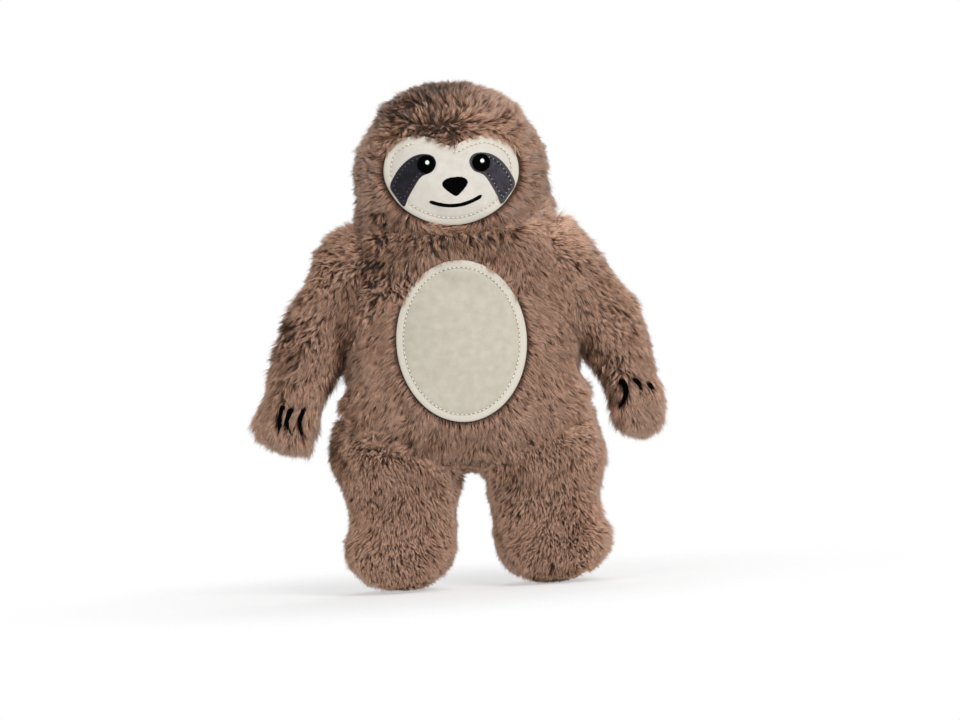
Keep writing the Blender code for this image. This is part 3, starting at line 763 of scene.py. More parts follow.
# Running stitch: single short threads that dip into the felt at both ends
stitchShape = {
    "pitch": 3.1 * mm,
    "length": 2.0 * mm,
    "radius": 0.4 * mm,
    "bury": 0.25 * mm,
    "mark": 0.4 * mm,
    "markSink": 0.1 * mm,
}


def runningStitch(name, patch, inset, body, slot, lift, materialPair, seed, keep=None):
    # Two pieces: the threads, and the short marks between them. The marks are painted shade in the needle holes
    # on the belly and face patches, and painted glints of the thread on the eye patches.
    rng = np.random.default_rng(seed)
    inner = evenly(inwards(evenly(outlines[patch], 0.8 * mm), inset), 0.4 * mm)
    line = np.vstack((inner, inner[:1]))
    reach = lengthsAlong(line)
    count = round(reach[-1] / stitchShape["pitch"])
    step = reach[-1] / count
    length = step * stitchShape["length"] / stitchShape["pitch"]
    arch = np.sin(np.linspace(0, math.pi, 7))
    offset = lift + arch * stitchShape["radius"] * 0.9 - (1 - arch) * stitchShape["bury"]
    threads, marks = [], []
    for k in range(count):
        start = k * step + rng.normal() * 0.04 * step
        gap = start + length + (step - length) * np.linspace(0.2, 0.8, 5)
        at = np.concatenate((start + np.linspace(0, length, 7), gap))
        flat = readAt(at % reach[-1], reach, line)
        if keep is None or keep(flat.mean(0)):
            threads.append(onFront(fields[body], flat[:7], offset))
            marks.append(onFront(fields[body], flat[7:], lift - stitchShape["markSink"]))
    radii = stitchShape["radius"] * (0.55 + 0.45 * np.sqrt(arch))
    wear(tubes(name, threads, radii, materialPair[0]), body, slot)
    radii = stitchShape["mark"] * np.array((0.55, 0.9, 1.0, 0.9, 0.55))
    wear(tubes(name + "Marks", marks, radii, materialPair[1]), body, slot)


# Satin stitch: threads laid side by side across a shape
satinShape = {"pitch": 0.42 * mm, "radius": 0.27 * mm, "samples": 9, "shoulder": 1.6 * mm}


def satinFill(name, angle, body, lift, dome, material, seed):
    rng = np.random.default_rng(seed)
    outline = evenly(outlines[name], 0.35 * mm)
    c, s = math.cos(angle), math.sin(angle)
    turn = np.array(((c, -s), (s, c)))
    a = outline @ turn  # the threads run along the first axis here
    b = np.roll(a, -1, 0)
    paths, pitch, samples = [], satinShape["pitch"], satinShape["samples"]
    for level in np.arange(a[:, 1].min() + pitch / 2, a[:, 1].max(), pitch):
        hits = (a[:, 1] > level) != (b[:, 1] > level)
        share = (level - a[hits, 1]) / (b[hits, 1] - a[hits, 1])
        crossing = np.sort(a[hits, 0] + share * (b[hits, 0] - a[hits, 0]))
        for ends in zip(crossing[::2], crossing[1::2]):
            ends = np.array(ends) + rng.normal(size=2) * 0.08 * mm
            flat = np.column_stack((np.linspace(*ends, samples), np.full(samples, level))) @ turn.T
            rise = dome * np.sqrt(np.clip(-edgeDistance(flat, outline)[0] / satinShape["shoulder"], 0, 1))
            paths.append(onFront(fields[body], flat, lift + rise + rng.normal() * 0.03 * mm))
    return tubes(name, paths, satinShape["radius"], material)


def satinBand(name, line, half, slant, body, lift, dome, material, seed):
    # Short threads across a line, each a little slanted, as on a claw or a mouth
    rng = np.random.default_rng(seed)
    reach = lengthsAlong(line)
    along = unit(np.gradient(line, axis=0))
    out = np.column_stack((-along[:, 1], along[:, 0]))
    across = np.linspace(-1, 1, satinShape["samples"])
    rise = dome * np.sqrt(np.clip(1 - across**2, 0, 1))
    paths = []
    for at in np.arange(satinShape["pitch"] / 2, reach[-1], satinShape["pitch"]):
        place = np.clip(at + across * slant, 0, reach[-1])
        width = np.interp(at, reach, half) * (1 + rng.normal() * 0.04)
        flat = readAt(place, reach, line) + readAt(place, reach, out) * (across * width)[:, None]
        paths.append(onFront(fields[body], flat, lift + rise + rng.normal() * 0.03 * mm))
    return tubes(name, paths, satinShape["radius"], material)


# The layers, from the skin outward, and how far the stitches lie inside their patches
layer = {
    "onSkin": feltShape["gap"],
    "onFace": feltShape["gap"] + feltShape["thick"] + 0.15 * mm,
    "onPatch": feltShape["gap"] + 2 * feltShape["thick"] + 0.3 * mm,
    "faceStitch": 5.0 * mm,
    "eyeStitch": 2.5 * mm,
    "dome": 0.9 * mm,
}
quarterTurn = math.radians(90)
glintRays = {"ways": ((0.4, 3.3), (2.8, 0.4)), "radii": (0.10, 0.22, 0.36, 0.42, 0.36, 0.22, 0.10)}  # mm


def faceStitchShows(point):
    # The fur of the brow lies over the stitches at the dip, and the eye patches over those at the sides
    under = -25 * mm < point[0] < 4 * mm and point[1] > 290 * mm
    far = [edgeDistance(point[None], outlines[word + "EyePatch"])[0][0] for word in sides]
    return not under and min(far) > 0.6 * mm


# the marks between these stitches are painted shade in the needle holes
for name, body, felt, puff, marks, seed, shows in (
    ("belly", "torso", "bellyFelt", 0.9 * mm, "needleHole", 11, None),
    ("face", "head", "creamFelt", feltShape["puff"], "paleHole", 12, faceStitchShows),
):
    patch, inset = name + "Patch", layer["faceStitch"]
    sheet = feltSheet(patch, body, layer["onSkin"], felt, inset, puff=puff)
    wear(sheet, body, "cream_felt", name + "_patch")
    pair, lift = ("creamThread", marks), layer["onFace"] + 0.05 * mm
    runningStitch(name + "Stitches", patch, inset, body, "cream_felt", lift, pair, seed, shows)
eyeLooks = {  # the right eye patch has darker copies of the felt and threads: painted shade
    "left": ("charcoalFelt", ("duskThread", "greyThread")),
    "right": ("shadyFelt", ("nightThread", "dimThread")),
}
for word, (felt, pair) in eyeLooks.items():
    eye, inset, top = word + "Eye", layer["eyeStitch"], layer["onPatch"] + layer["dome"]
    sheet = feltSheet(eye + "Patch", "head", layer["onFace"], felt, inset, 0.9 * mm, 0.2 * mm)
    wear(sheet, "head", "charcoal_felt", word + "_eye_patch")
    runningStitch(
        eye + "Stitches", eye + "Patch", inset, "head", "charcoal_felt", layer["onPatch"] - 0.45 * mm, pair, 13,
        lambda point, eye=eye: edgeDistance(point[None], outlines[eye])[0][0] > 0.8 * mm,
    )
    disc = satinFill(eye, 0.0, "head", layer["onPatch"], layer["dome"], "blackThread", 21)
    wear(disc, "head", "black_thread", word + "_eye")
    glint = satinFill(eye + "Highlight", quarterTurn, "head", top + 0.25 * mm, 0.25 * mm, "whiteThread", 22)
    wear(glint, "head", "white_thread", word + "_eye_highlight")
    centre, share = outlines[eye + "Highlight"].mean(0), np.linspace(-0.5, 0.5, 7)[:, None]
    rays = [centre + share * np.array(way) * mm for way in glintRays["ways"]]
    paths = [onFront(fields["head"], ray, top + 0.5 * mm) for ray in rays]
    rays = tubes(word + "GlintRays", paths, np.array(glintRays["radii"]) * mm, "whiteThread")
    wear(rays, "head", "white_thread")
nose = satinFill("nose", quarterTurn, "head", layer["onFace"], layer["dome"] + 0.3 * mm, "blackThread", 23)
wear(nose, "head", "black_thread", "nose")
share = np.linspace(-1, 1, 60)
mouthLine = np.column_stack((
    faceShape["mouthMiddle"][0] + share * faceShape["mouthWidth"] / 2,
    faceShape["mouthMiddle"][1] + faceShape["mouthRise"] * share**2 + faceShape["mouthSlant"] * share,
))
mouthHalf = faceShape["mouthThread"] / 2 * np.minimum(1, 0.45 + 9 * (1 - np.abs(share)))
mouth = satinBand(
    "mouth", mouthLine, mouthHalf, 0.5 * mm, "head", layer["onFace"], 0.55 * mm, "blackThread", 24
)
wear(mouth, "head", "black_thread", "mouth")
for word, side in sides.items():
    for number in (1, 2, 3):
        lift, dome = (0.2, 0.6) if word == "left" and number > 1 else (1.3, 1.2)  # mm, sunk or proud of the fur
        body, label = word + "_arm", f"{word}Claw{number}"
        line, half = clawLine(word, number - 1)
        claw = satinBand(
            label, line, half, 0.6 * mm * side, body, lift * mm, dome * mm, "blackThread", 30 + number
        )
        wear(claw, body, "black_thread", f"{word}_claw_{number}")
print("felt, stitches and embroidery made")

# Pile: single tapered strands in small locks, and the locks in loose clumps that part here and there
pile = {
    "length": 8.6 * mm,
    "radius": 0.2 * mm,
    "perSquareMm": 2.2,
    "lockSpacing": 1.9 * mm,
    "clumpSpacing": 7.5 * mm,
    "strandsPerPiece": 28000,
    "curved": 0.45,  # share of the strands that are modelled with a bend
    "partings": 0.06,  # share of the locks that part down to their roots
    "leanRange": (14, 78),  # degrees
    "pressed": (34, 0.6),  # lean and length share where the floor presses on the pile
    "covered": (15, 0.8),  # the same where another sack does
    "coveredWithin": 0.9 * mm,
    "floorGap": 0.15 * mm,
}

# How each sack is brushed: lean off the skin in degrees, pile length share, whorls
brushing = {
    "torso": {"lean": 25, "length": 0.95, "whorls": 0.22},
    "head": {"lean": 29, "length": 0.95, "whorls": 0.34},
    "left_arm": {"lean": 27, "length": 0.95, "whorls": 0.2},
    "right_arm": {"lean": 27, "length": 0.95, "whorls": 0.2},
    "left_leg": {"lean": 44, "length": 0.74, "whorls": 0.26, "lockSpacing": 1.45 * mm},
    "right_leg": {"lean": 44, "length": 0.74, "whorls": 0.26, "lockSpacing": 1.45 * mm},
}

# Where handling has ruffled the pile: middle in x and z, half width and height in mm, and how much
ruffles = {
    "torso": (
        (-62, 222, 38, 30, 1.0), (-5, 239, 58, 9, 0.42), (-82, 150, 14, 50, 0.5), (-55, 110, 42, 13, 0.8),
        (28, 104, 20, 14, 0.4),
    ),
    "head": (
        (-26, 328, 34, 24, 1.0), (-4, 316, 18, 16, 0.9), (-60, 285, 16, 50, 0.9), (-48, 256, 26, 13, 0.8),
        (20, 338, 26, 10, 0.5),
    ),
    "right_arm": ((-88, 232, 24, 22, 0.9), (-120, 190, 15, 45, 0.9), (-104, 190, 24, 50, 0.65)),
    "left_arm": ((108, 192, 20, 45, 0.6), (100, 142, 13, 30, 1.0), (90, 225, 20, 18, 0.4)),
    "right_leg": ((-55, 100, 38, 13, 0.6), (-88, 50, 9, 45, 0.5)),
    "left_leg": ((30, 70, 12, 40, 0.4), (60, 8, 40, 9, 0.3)),
}

# Painted shade on the pile where it lies in shadow, given in the same way: on the side away from the key lamp,
# on the crown, under the chin, in the armpits and along the creases. A negative amount is painted light.
paintedShadeSpots = {
    "torso": (
        (-60, 230, 28, 18, 0.42), (-4, 238, 50, 8, 0.26), (20, 232, 26, 8, 0.15), (-84, 146, 5, 30, 0.6),
        (-80, 144, 10, 38, 0.4), (-85, 114, 8, 16, 0.6), (-56, 190, 12, 26, 0.12), (-50, 106, 32, 4, 0.35),
        (-26, 101, 14, 4, 0.35), (8, 104, 26, 12, 0.12),
    ),
    "head": (
        (-22, 330, 30, 20, 0.66), (-8, 341, 38, 11, 0.62), (-8, 318, 20, 14, 0.55), (-70, 291, 6, 36, 0.6),
        (28, 332, 26, 14, 0.22), (62, 290, 16, 46, 0.1), (6, 246, 44, 7, 0.28), (-46, 254, 26, 12, 0.25),
        (-44, 304, 10, 10, 0.2),
    ),
    "right_arm": (
        (-122, 172, 8, 22, 0.5), (-116, 188, 8, 10, 0.9), (-106, 208, 7, 7, 0.45), (-94, 240, 9, 7, 0.4),
        (-80, 168, 5, 30, 0.6), (-84, 156, 5, 8, 0.85), (-90, 146, 6, 6, 0.85), (-84, 234, 18, 14, 0.2),
    ),
    "left_arm": (
        (86, 162, 6, 10, 0.75), (94, 146, 6, 12, 0.7), (99, 129, 6, 12, 0.6), (102, 104, 5, 16, 0.65),
        (106, 196, 14, 40, 0.14), (122, 110, 16, 22, -0.15), (73, 247, 12, 9, -0.15),
    ),
    "right_leg": (
        (-92, 104, 7, 20, 0.6), (-89, 84, 7, 40, 0.45), (-52, 92, 26, 4, 0.2), (-88, 40, 6, 30, 0.25),
        (-50, 60, 44, 60, 0.06),
    ),
    "left_leg": ((28, 80, 14, 30, 0.25), (18, 40, 8, 34, 0.25), (60, 10, 34, 8, 0.12), (50, 60, 44, 60, 0.06)),
}

# What the pile may lie over, and how deep, also where it hangs down over it
guards = {
    "torso": [("bellyPatch", 0.8 * mm, 3.0 * mm)],
    "head": [("facePatch", 0.8 * mm, 3.0 * mm)],
    "left_arm": [(key, -0.5 * mm, -0.5 * mm) for key in ("leftClaw1", "leftClaw2Top", "leftClaw3Top")],
    "right_arm": [(f"rightClaw{k}", 0.6 * mm, 0.6 * mm) for k in (1, 2, 3)],
}


def combing(name, p, n):
    # The way that the pile lies before any disorder
    x, y, z = ((p - (0, middle, 0)) / mm).T
    ones = np.ones(len(p))
    side = -1 if name.startswith("right") else 1
    if name == "torso":
        return np.column_stack((x / 90 * 1.1, y / 50 * 0.3, -ones))
    if name == "head":
        front = smoothly(-y, -8, 28)[:, None]
        fall = np.column_stack((x / 60 * 0.6, 0.25 * ones, -ones))
        # the pile parts above the brow and falls over it
        rise = z + 5 * waves(p, 26 * mm, 4)[:, 0]
        brow = np.exp(-(((x + 6) / 26) ** 2)) * (1 - smoothly(rise, 304, 332))
        angle = math.pi * brow * np.where(x + 6 + 4 * waves(p, 12 * mm, 9)[:, 0] > 0, -1, 1)
        c, s, z = np.cos(angle), np.sin(angle), z - 290
        return front * np.column_stack((x * c - z * s, 14 * ones, z * c + x * s)) / 55 + (1 - front) * fall
    if name.endswith("arm"):
        flare, top = smoothly(135 - z, 0, 30), smoothly(z, 214, 240)
        away = side * (0.45 + 1.3 * top) + 1.3 * flare * (x - side * 118) / 30
        return np.column_stack((away, y / 30 * 0.3, -1 + 0.35 * top))
    flare = smoothly(40 - z, 0, 35)
    fall = np.where(n[:, 2] < -0.75, -0.1, 1.0)  # level under the soles
    outX, outY = (x - side * 52) / 45 * (0.25 + 0.9 * flare), y / 45 * (0.2 + 0.9 * flare)
    return np.column_stack((0.12 + outX, outY, -fall))


def flatOn(vectors, normals):
    return vectors - (vectors * normals).sum(1, keepdims=True) * normals


def tilted(way, normals, angle):
    return way * np.cos(angle)[:, None] + normals * np.sin(angle)[:, None]


def brushedWay(name, p, n, seed):
    whorls = brushing[name]["whorls"]
    way = unit(combing(name, p, n))
    lie = flatOn(way + whorls * waves(p, 34 * mm, seed) + 0.7 * whorls * waves(p, 13 * mm, seed + 1), n)
    for outline, _, brow in guards.get(name, ()):
        far, out = edgeDistance(p[:, (0, 2)], outlines[outline])
        near = np.exp(-np.maximum(far, 0) / (6 * mm)) * (n[:, 1] < 0) * (0.3 if "Claw" in outline else 1)
        pull = np.where((out[:, 1] > 0.45) & (brow > 2 * mm), -3.0, 1.1) * near
        lie += np.column_stack((out[:, 0], np.zeros(len(p)), out[:, 1])) * pull[:, None]
    return unit(flatOn(lie, n))


def sinkDepth(name, p, n, gaps):
    deep = smoothly(gaps, 1.5 * mm, 9 * mm)
    for outline, *_ in guards.get(name, ()):
        far, _ = edgeDistance(p[:, (0, 2)], outlines[outline])
        deep = np.where(n[:, 1] < 0, np.minimum(deep, smoothly(far, 0.5 * mm, 6 * mm)), deep)
    return deep * skinShape["sink"]


def rootsOn(co, tris, normals, perSquareMm, rng):
    a, b, c = (co[tris[:, k]] for k in range(3))
    area = np.linalg.norm(np.cross(b - a, c - a), axis=1) / 2
    count = int(area.sum() / mm**2 * perSquareMm)
    pick = np.searchsorted(np.cumsum(area) / area.sum(), rng.random(count))
    u, v = rng.random(count), rng.random(count)
    u, v = np.where(u + v > 1, 1 - u, u), np.where(u + v > 1, 1 - v, v)
    w = np.column_stack((1 - u - v, u, v))
    p = sum(w[:, k : k + 1] * co[tris[pick, k]] for k in range(3))
    n = unit(sum(w[:, k : k + 1] * normals[tris[pick, k]] for k in range(3)))
    return p, n


def nearestOf(places, points):
    tree = pointTree(places)
    return np.array([tree.find(point)[1] for point in points])


def strandBlock(steps, taper, root, bend, tip, normal, radius, tone, first):
    # Three-sided tapered strands: a ring for each step of the taper, and a tip
    count, rows = len(root), len(taper)
    t = np.array(steps)[None, :, None]
    path = (1 - t) ** 2 * root[:, None] + 2 * t * (1 - t) * bend[:, None] + t**2 * tip[:, None]
    along = unit((1 - t) * (bend - root)[:, None] + t * (tip - bend)[:, None])
    side = unit(np.cross(along, normal[:, None]))
    rise = np.cross(side, along)
    turns = np.arange(3) / 3 * math.tau + math.pi / 2
    width = radius[:, None, None, None] * np.array(taper)[None, :, None, None]
    ring = side[:, :rows, None] * np.cos(turns)[:, None] + rise[:, :rows, None] * np.sin(turns)[:, None]
    rings = (path[:, :rows, None] + width * ring).reshape(count, 3 * rows, 3)
    vertices = np.concatenate((rings, path[:, rows:]), axis=1)
    vertices[..., 2] = np.maximum(vertices[..., 2], pile["floorGap"])
    loops, sizes, us, vs = [0, 2, 1], [3], [0, 2, 1], [0, 0, 0]
    for r in range(rows):
        last = r == rows - 1
        for k in range(3):
            a, b = 3 * r + k, 3 * r + (k + 1) % 3
            loops += [a, b, 3 * rows] if last else [a, b, b + 3, a + 3]
            us += [k, k + 1, k + 0.5] if last else [k, k + 1, k + 1, k]
            vs += [r, r, rows] if last else [r, r, r + 1, r + 1]
            sizes.append(3 if last else 4)
    u = np.clip(tone, 0.01, 0.96)[:, None] + np.array(us, float) * 0.008
    v = np.broadcast_to(0.01 + 0.98 * np.array(steps)[np.array(vs)], u.shape)
    corners = first + np.arange(count)[:, None] * (3 * rows + 1) + np.array(loops)
    uvs = np.stack((u, v), axis=-1).reshape(-1, 2)
    return vertices.reshape(-1, 3), corners.ravel(), np.tile(sizes, count), uvs


def strandPiece(name, root, bend, tip, normal, radius, tone):
    cut = int(len(root) * pile["curved"])
    bend[cut:] = (root[cut:] + tip[cut:]) / 2
    radius[cut:] *= 1.15
    strands = (root, bend, tip, normal, radius, tone)
    bent = strandBlock((0, 0.5, 1), (1.0, 0.72), *(each[:cut] for each in strands), 0)
    straight = strandBlock((0, 1), (1.0,), *(each[cut:] for each in strands), len(bent[0]))
    vertices, corners, sizes, uvs = (np.concatenate(both) for both in zip(bent, straight))
    piece = pieceFrom(name, vertices, corners, sizes, "pile")
    piece.data.uv_layers.new(name="OFBake").data.foreach_set("uv", uvs.astype(np.float32).ravel())
    return piece


def handShare(p):
    return smoothly(140 * mm - p[:, 2], 0, 15 * mm)


def reachShare(name, p):
    # Shorter pile at the crown, at the ends of the hands, in the crotch and round the soles
    x, z = np.abs(p[:, 0]) / mm, p[:, 2] / mm
    if name == "head":
        return 1 - 0.12 * smoothly(z, 322, 340)
    if name.endswith("arm"):
        return 1 + 0.25 * handShare(p) - 0.5 * smoothly(108 - z, 0, 10)
    if name.endswith("leg"):
        return 1 - 0.35 * smoothly(14 - z, 0, 12) - 0.15 * smoothly(34 - x, 0, 20)
    return 1 - 0.55 * smoothly(30 - x, 0, 14) * smoothly(98 - z, 0, 10)


def spots(rows, p):
    x, z = p[:, 0] / mm, p[:, 2] / mm
    return [most * np.exp(-(((x - midX) / a) ** 2) - ((z - midZ) / b) ** 2) for midX, midZ, a, b, most in rows]


def ruffled(name, p, n):
    # From 0, brushed smooth, to 1, ruffled
    rough = np.maximum(np.max(spots(ruffles[name], p), axis=0), 0.22 if name.endswith("leg") else 0.1)
    rough = np.where(n[:, 1] > 0.2, 0.4, rough)
    if name.endswith("arm"):
        rough = rough * (1 - 0.8 * handShare(p))
    return np.clip(rough + 0.16 * waves(p, 30 * mm, 7)[:, 0], 0, 1)


# Painted shade from the table, and painted light where an amount is negative; behind the side seams it fades
# into an even slight painted shade
def paintedShadeShare(name, p):
    dim = np.zeros(len(p))
    for here in spots(paintedShadeSpots[name], p):
        dim = np.where(np.abs(here) > np.abs(dim), here, dim)
    behind = smoothly(p[:, 1] - middle, -6 * mm, 12 * mm)
    return dim * (1 - behind) + 0.04 * behind


def creaseShare(name, p, gaps):
    # Near a seam between two sacks: how near, how much painted shade the crease gets there, and whether this
    # sack's pile lies over the other
    near = smoothly(7 * mm - gaps, 0, 6 * mm)
    x, z = p[:, 0] / mm, p[:, 2] / mm
    # the painted shade is stronger on the side away from the key lamp
    arm = 0.25 + 0.75 * smoothly(20 - x, 0, 60)
    if name == "torso":
        neck, hip = (z > 222) & (np.abs(x) < 84), z < 126
        return near, np.where(hip | neck, 0.0, arm), np.where(hip, 1, np.where(neck, -1, -0.5))
    kind = name.split("_")[-1]
    dark = arm * 0.5 * (1 - smoothly(z, 215, 235)) * (kind == "arm")
    return near, dark, np.full(len(p), {"head": 1, "arm": 0.3, "leg": -1}[kind])


def spread(points, count, rounds, rng):
    # Even centres among the points, each moved to the middle of the points nearest to it
    centres = points[rng.choice(len(points), count, replace=False)]
    for _ in range(rounds):
        owner = nearestOf(centres, points)
        centres = sumsBy(owner, points, count) / np.maximum(np.bincount(owner, minlength=count), 1)[:, None]
    return centres, nearestOf(centres, points)


def makeLocks(name, root, normal, seed, rng):
    # Each lock's place, way, lean and length, how dark it is and how far it draws its strands together
    look = brushing[name]
    area = len(root) / pile["perSquareMm"] * mm**2
    lockCount, clumpCount = (
        int(area / look.get(key, pile[key]) ** 2) for key in ("lockSpacing", "clumpSpacing")
    )
    centres, owner = spread(root, lockCount, 1, rng)
    clumps, clumpOf = spread(centres, clumpCount, 2, rng)
    out = unit(sumsBy(owner, normal, lockCount))
    height = centres[:, 2]
    lie = brushedWay(name, centres, out, seed)
    rough = ruffled(name, centres, out)
    hand = handShare(centres) if name.endswith("arm") else np.zeros(lockCount)
    gaps = gapsToOthers(name, centres + out * 0.5 * mm)
    near, dark, over = creaseShare(name, centres, gaps)
    covered = gaps < pile["coveredWithin"]
    pressed = (out[:, 2] < -0.75) & (height < 8 * mm)

    def each(spreadOut=1.0):
        return spreadOut * rng.normal(size=lockCount)

    def eachClump(spreadOut=1.0):
        return spreadOut * rng.normal(size=clumpCount)[clumpOf]

    turn = np.radians(8 + 24 * rough) * each()
    turn += np.radians(5 + 13 * rough) * eachClump()
    lie = tilted(lie, np.cross(out, lie), turn)
    lean = look["lean"] + 20 * rough + each(5) + eachClump(4) - 6 * hand
    calm = np.where((centres[:, 0] > 15 * mm) & (height < 135 * mm), 0.35, 1.0)  # the left hip is brushed over
    lean -= near * np.where(over > 0, 16, 14) * over * calm
    lean += 30 * smoothly(-out[:, 2], 0.1, 0.45) * smoothly(16 * mm - height, 0, 8 * mm)
    lean = np.clip(lean, *pile["leanRange"])
    reach = pile["length"] * look["length"] * reachShare(name, centres) * np.clip(1 + each(0.12), 0.6, 1.4)
    grooved = (np.abs(over) < 0.9) & (height < 232 * mm)
    reach *= (1 - near * np.where(grooved, 0.25, -0.12)) * (1 + eachClump(0.09))
    reach *= np.clip(1 + 0.3 * near * ~grooved * each(), 0.5, 1.4)
    # Locks that another sack or the floor presses on lie flatter and shorter
    for where, (angle, share) in ((covered & ~pressed, pile["covered"]), (pressed, pile["pressed"])):
        lean = np.where(where, angle, lean)
        reach = np.where(where, reach * share, reach)
    tone = 0.8 + 0.07 * hand - 0.06 * rough + (0.08 + 0.2 * rough) * each()
    # slow random changes of tone, and painted shade in the creases beside other sacks
    tone += 0.06 * waves(centres, 40 * mm, seed + 2)[:, 0] - 0.5 * near * dark * ~covered
    # painted shade from the table, and painted light where its amount is negative
    tone -= paintedShadeShare(name, centres)
    gone = rng.random(lockCount) < pile["partings"] + 0.2 * rough + 0.03 * hand
    tone = np.clip(np.where(gone, tone - 0.52 - 0.16 * rough, tone + 0.03 * rough), 0, 1)
    reach = np.where(gone, reach * 0.62, reach)
    pull = np.clip(0.12 + 0.5 * rough + 0.1 * hand + each(0.06), 0.03, 0.85)
    parting = np.clip(0.04 + 0.16 * rough + eachClump(0.1) * (0.3 + rough), 0, 0.4)
    start = centres - out * sinkDepth(name, centres, out, gaps)[:, None]
    lean = np.radians(lean)
    locks = {
        "gaps": gaps, "lie": lie, "lean": lean, "reach": reach, "tone": tone, "pull": pull[:, None],
        "parting": parting[:, None], "start": start, "end": start + reach[:, None] * tilted(lie, out, lean),
        "clump": clumps[clumpOf],
    }
    return {key: values[owner] for key, values in locks.items()}, centres[:, 0].mean()


def makeStrands(name, root, normal, seed, rng):
    lock, centreX = makeLocks(name, root, normal, seed, rng)
    count = len(root)
    root = root - normal * (sinkDepth(name, root, normal, lock["gaps"]) + 0.4 * mm)[:, None]
    lie = unit(flatOn(lock["lie"] + 0.17 * rng.normal(size=(count, 3)), normal))
    lean = lock["lean"] + np.radians(7) * rng.normal(size=count)
    reach = (lock["reach"] * np.clip(1 + 0.12 * rng.normal(size=count), 0.6, 1.3))[:, None]
    bend = root + 0.48 * reach * tilted(lie, normal, np.minimum(lean + np.radians(24), np.radians(86)))
    tip = root + reach * tilted(lie, normal, lean)
    hold = lock["pull"]
    gather = lock["end"] + 0.35 * mm * rng.normal(size=(count, 3))
    tip = tip * (1 - hold) + gather * hold + flatOn(lock["clump"] - root, normal) * lock["parting"]
    bend = bend * (1 - 0.35 * hold) + (0.5 * (lock["start"] + gather) + normal * 1.2 * mm) * 0.35 * hold
    tip[:, 2] -= 0.4 * mm
    shown = np.ones(count, bool)
    facing = normal[:, 1] < 0.1
    for outline, allowed, brow in guards.get(name, ()):
        far, way = edgeDistance(root[:, (0, 2)], outlines[outline])
        shown &= ~((far < 0.1 * mm) & facing)
        close = np.flatnonzero((far < 13 * mm) & facing)
        deep = np.where(way[close, 1] > 0.45, brow, allowed)
        if name == "head":  # the brow hangs over the dip
            fringe = 5.0 * mm * np.exp(-(((root[close, 0] + 12 * mm) / (15 * mm)) ** 2))
            deep = deep + np.where(way[close, 1] > 0.3, fringe, 0)
        deep = deep * rng.uniform(0.4, 1.15, len(close))
        share = np.ones(len(close))
        for s, shorter in ((1.0, 0.85), (0.85, 0.7), (0.7, 0.5), (0.5, 0.3), (0.3, 0.0)):
            at = root[close] * (1 - s) + tip[close] * s
            share = np.where(-edgeDistance(at[:, (0, 2)], outlines[outline])[0] > deep, shorter, share)
        shown[close[share == 0]] = False
        for end in (tip, bend):
            end[close] = root[close] + (end[close] - root[close]) * share[:, None]
    order = np.argsort(np.arctan2(root[:, 0] - centreX, -(root[:, 1] - middle)), kind="stable")
    order = order[shown[order]]
    radius = pile["radius"] * np.clip(1 + 0.15 * rng.normal(size=count), 0.6, 1.5)
    tone = np.clip(lock["tone"] + 0.13 * rng.normal(size=count), 0, 1)
    return order, (root, bend, tip, normal, radius, tone)


def growPile(name, seed):
    rng = np.random.default_rng(seed)
    mesh = skins[name]
    co, normals = (readAll(mesh.vertices, key) for key in ("co", "normal"))
    root, normal = rootsOn(co, trianglesOf(mesh), normals, pile["perSquareMm"], rng)
    order, strands = makeStrands(name, root, normal, seed, rng)
    label = "".join(w.capitalize() if k else w for k, w in enumerate(name.split("_")))
    parts = np.array_split(order, math.ceil(len(order) / pile["strandsPerPiece"]))
    for number, part in enumerate(parts, 1):
        part = rng.permutation(part)
        piece = strandPiece(f"{label}Pile{number}", *(values[part] for values in strands))
        wear(piece, name, "taupe_plush_fabric")
    # The skin itself, sunk under the pile
    skin = mesh.copy()
    depth = sinkDepth(name, co, normals, gapsToOthers(name, co))
    skin.polygons.foreach_set("use_smooth", [True] * len(skin.polygons))
    movePoints(skin, co - normals * depth[:, None])
    skin.materials.clear()
    skin.materials.append(materials["backing"])
    item = addItem(label + "Skin", skin)
    wear(item, name, "taupe_plush_fabric", *(f"{name}_{part}" for part in sackParts))
    print("pile grown on", name, len(order), "strands in", len(parts))


for seed, name in enumerate(sackNames, 100):
    growPile(name, seed * 10)

# Studio: soft lamps, a white room for the camera, and a floor that fades out round the toy
studio = {
    "lamps": (
        ("keyLamp", (0.8, -1.5, 0.95), 0.8, 24),
        ("fillLamp", (-1.0, -1.4, 0.4), 1.2, 7),
        ("rimLamp", (0.3, 1.1, 1.1), 0.9, 7),
    ),
    "aim": (0, 0, 0.18),
    "room": 0.46,
    "floorRadius": 0.24,
    "floorGlow": 0.5,  # how much of its own white the floor shows the camera, which thins the shadow
}
white = (1, 1, 1, 1)


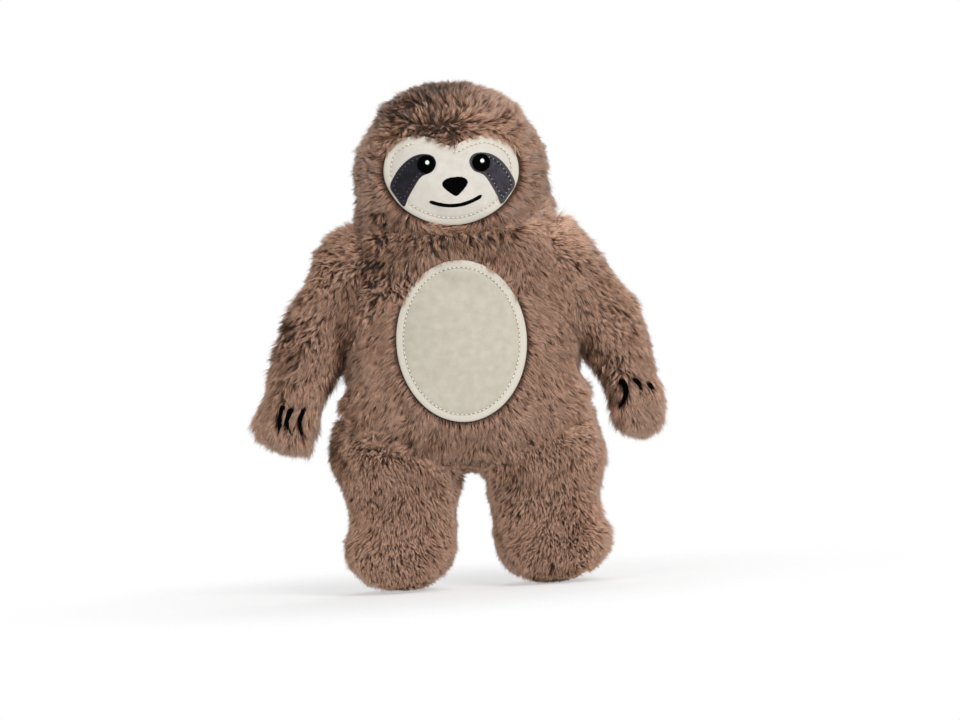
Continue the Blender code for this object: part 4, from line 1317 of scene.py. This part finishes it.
def seenDirectly(tree):
    # 1 for what the camera sees, also in gloss and through glass
    path = addNode(tree, "LightPath")
    seen = path.outputs["Is Camera Ray"]
    for ray in ("Is Glossy Ray", "Is Transmission Ray"):
        seen = addNode(tree, "Math", {0: seen, 1: path.outputs[ray]}, operation="MAXIMUM").outputs[0]
    return seen


def makeStudio():
    scene = bpy.context.scene
    for name, place, size, watts in studio["lamps"]:
        data = bpy.data.lights.new(name, "AREA")
        data.size, data.energy = size, watts
        lamp = addItem(name, data)
        lamp.location = place
        lamp.rotation_euler = (Vector(studio["aim"]) - Vector(place)).to_track_quat("-Z", "Y").to_euler()
    world = bpy.data.worlds.new("room")
    scene.world = world
    world.use_nodes = True
    tree = world.node_tree
    tree.nodes.clear()
    soft, bright = (
        addNode(tree, "Background", {"Color": white, "Strength": strength})
        for strength in (studio["room"], 1.0)
    )
    mix = addNode(tree, "MixShader", {0: seenDirectly(tree), 1: soft, 2: bright})
    addNode(tree, "OutputWorld", {"Surface": mix})

    material, tree, shader = newMaterial(
        "paleFloor", Base_Color=toLinear("#fafafa"), Roughness=0.9, Specular_IOR_Level=0.0
    )
    radius = studio["floorRadius"]
    place = addNode(tree, "TexCoord").outputs["Object"]
    reach = addNode(tree, "VectorMath", {0: place}, operation="LENGTH").outputs["Value"]
    fade = {0: reach, 1: radius * 0.5, 2: radius * 1.5, 3: 0.0, 4: 1.0}
    fade = addNode(tree, "MapRange", fade, interpolation_type="SMOOTHSTEP")
    glow = addNode(tree, "Math", {0: seenDirectly(tree), 1: studio["floorGlow"]}, operation="MULTIPLY")
    bright = addNode(tree, "Emission", {"Color": white, "Strength": 1.0})
    lit = addNode(tree, "MixShader", {0: glow, 1: shader, 2: bright})
    mix = addNode(tree, "MixShader", {0: fade, 1: lit, 2: addNode(tree, "BsdfTransparent")})
    feed(tree.nodes["Material Output"], {"Surface": mix})
    materials["floor"] = material
    turns = np.arange(64) / 64 * math.tau
    disc = np.column_stack((np.cos(turns), np.sin(turns), turns * 0)) * radius * 1.6
    meshOf("floor", disc, [range(64)], "floor", smooth=False)


makeStudio()
print("studio set")
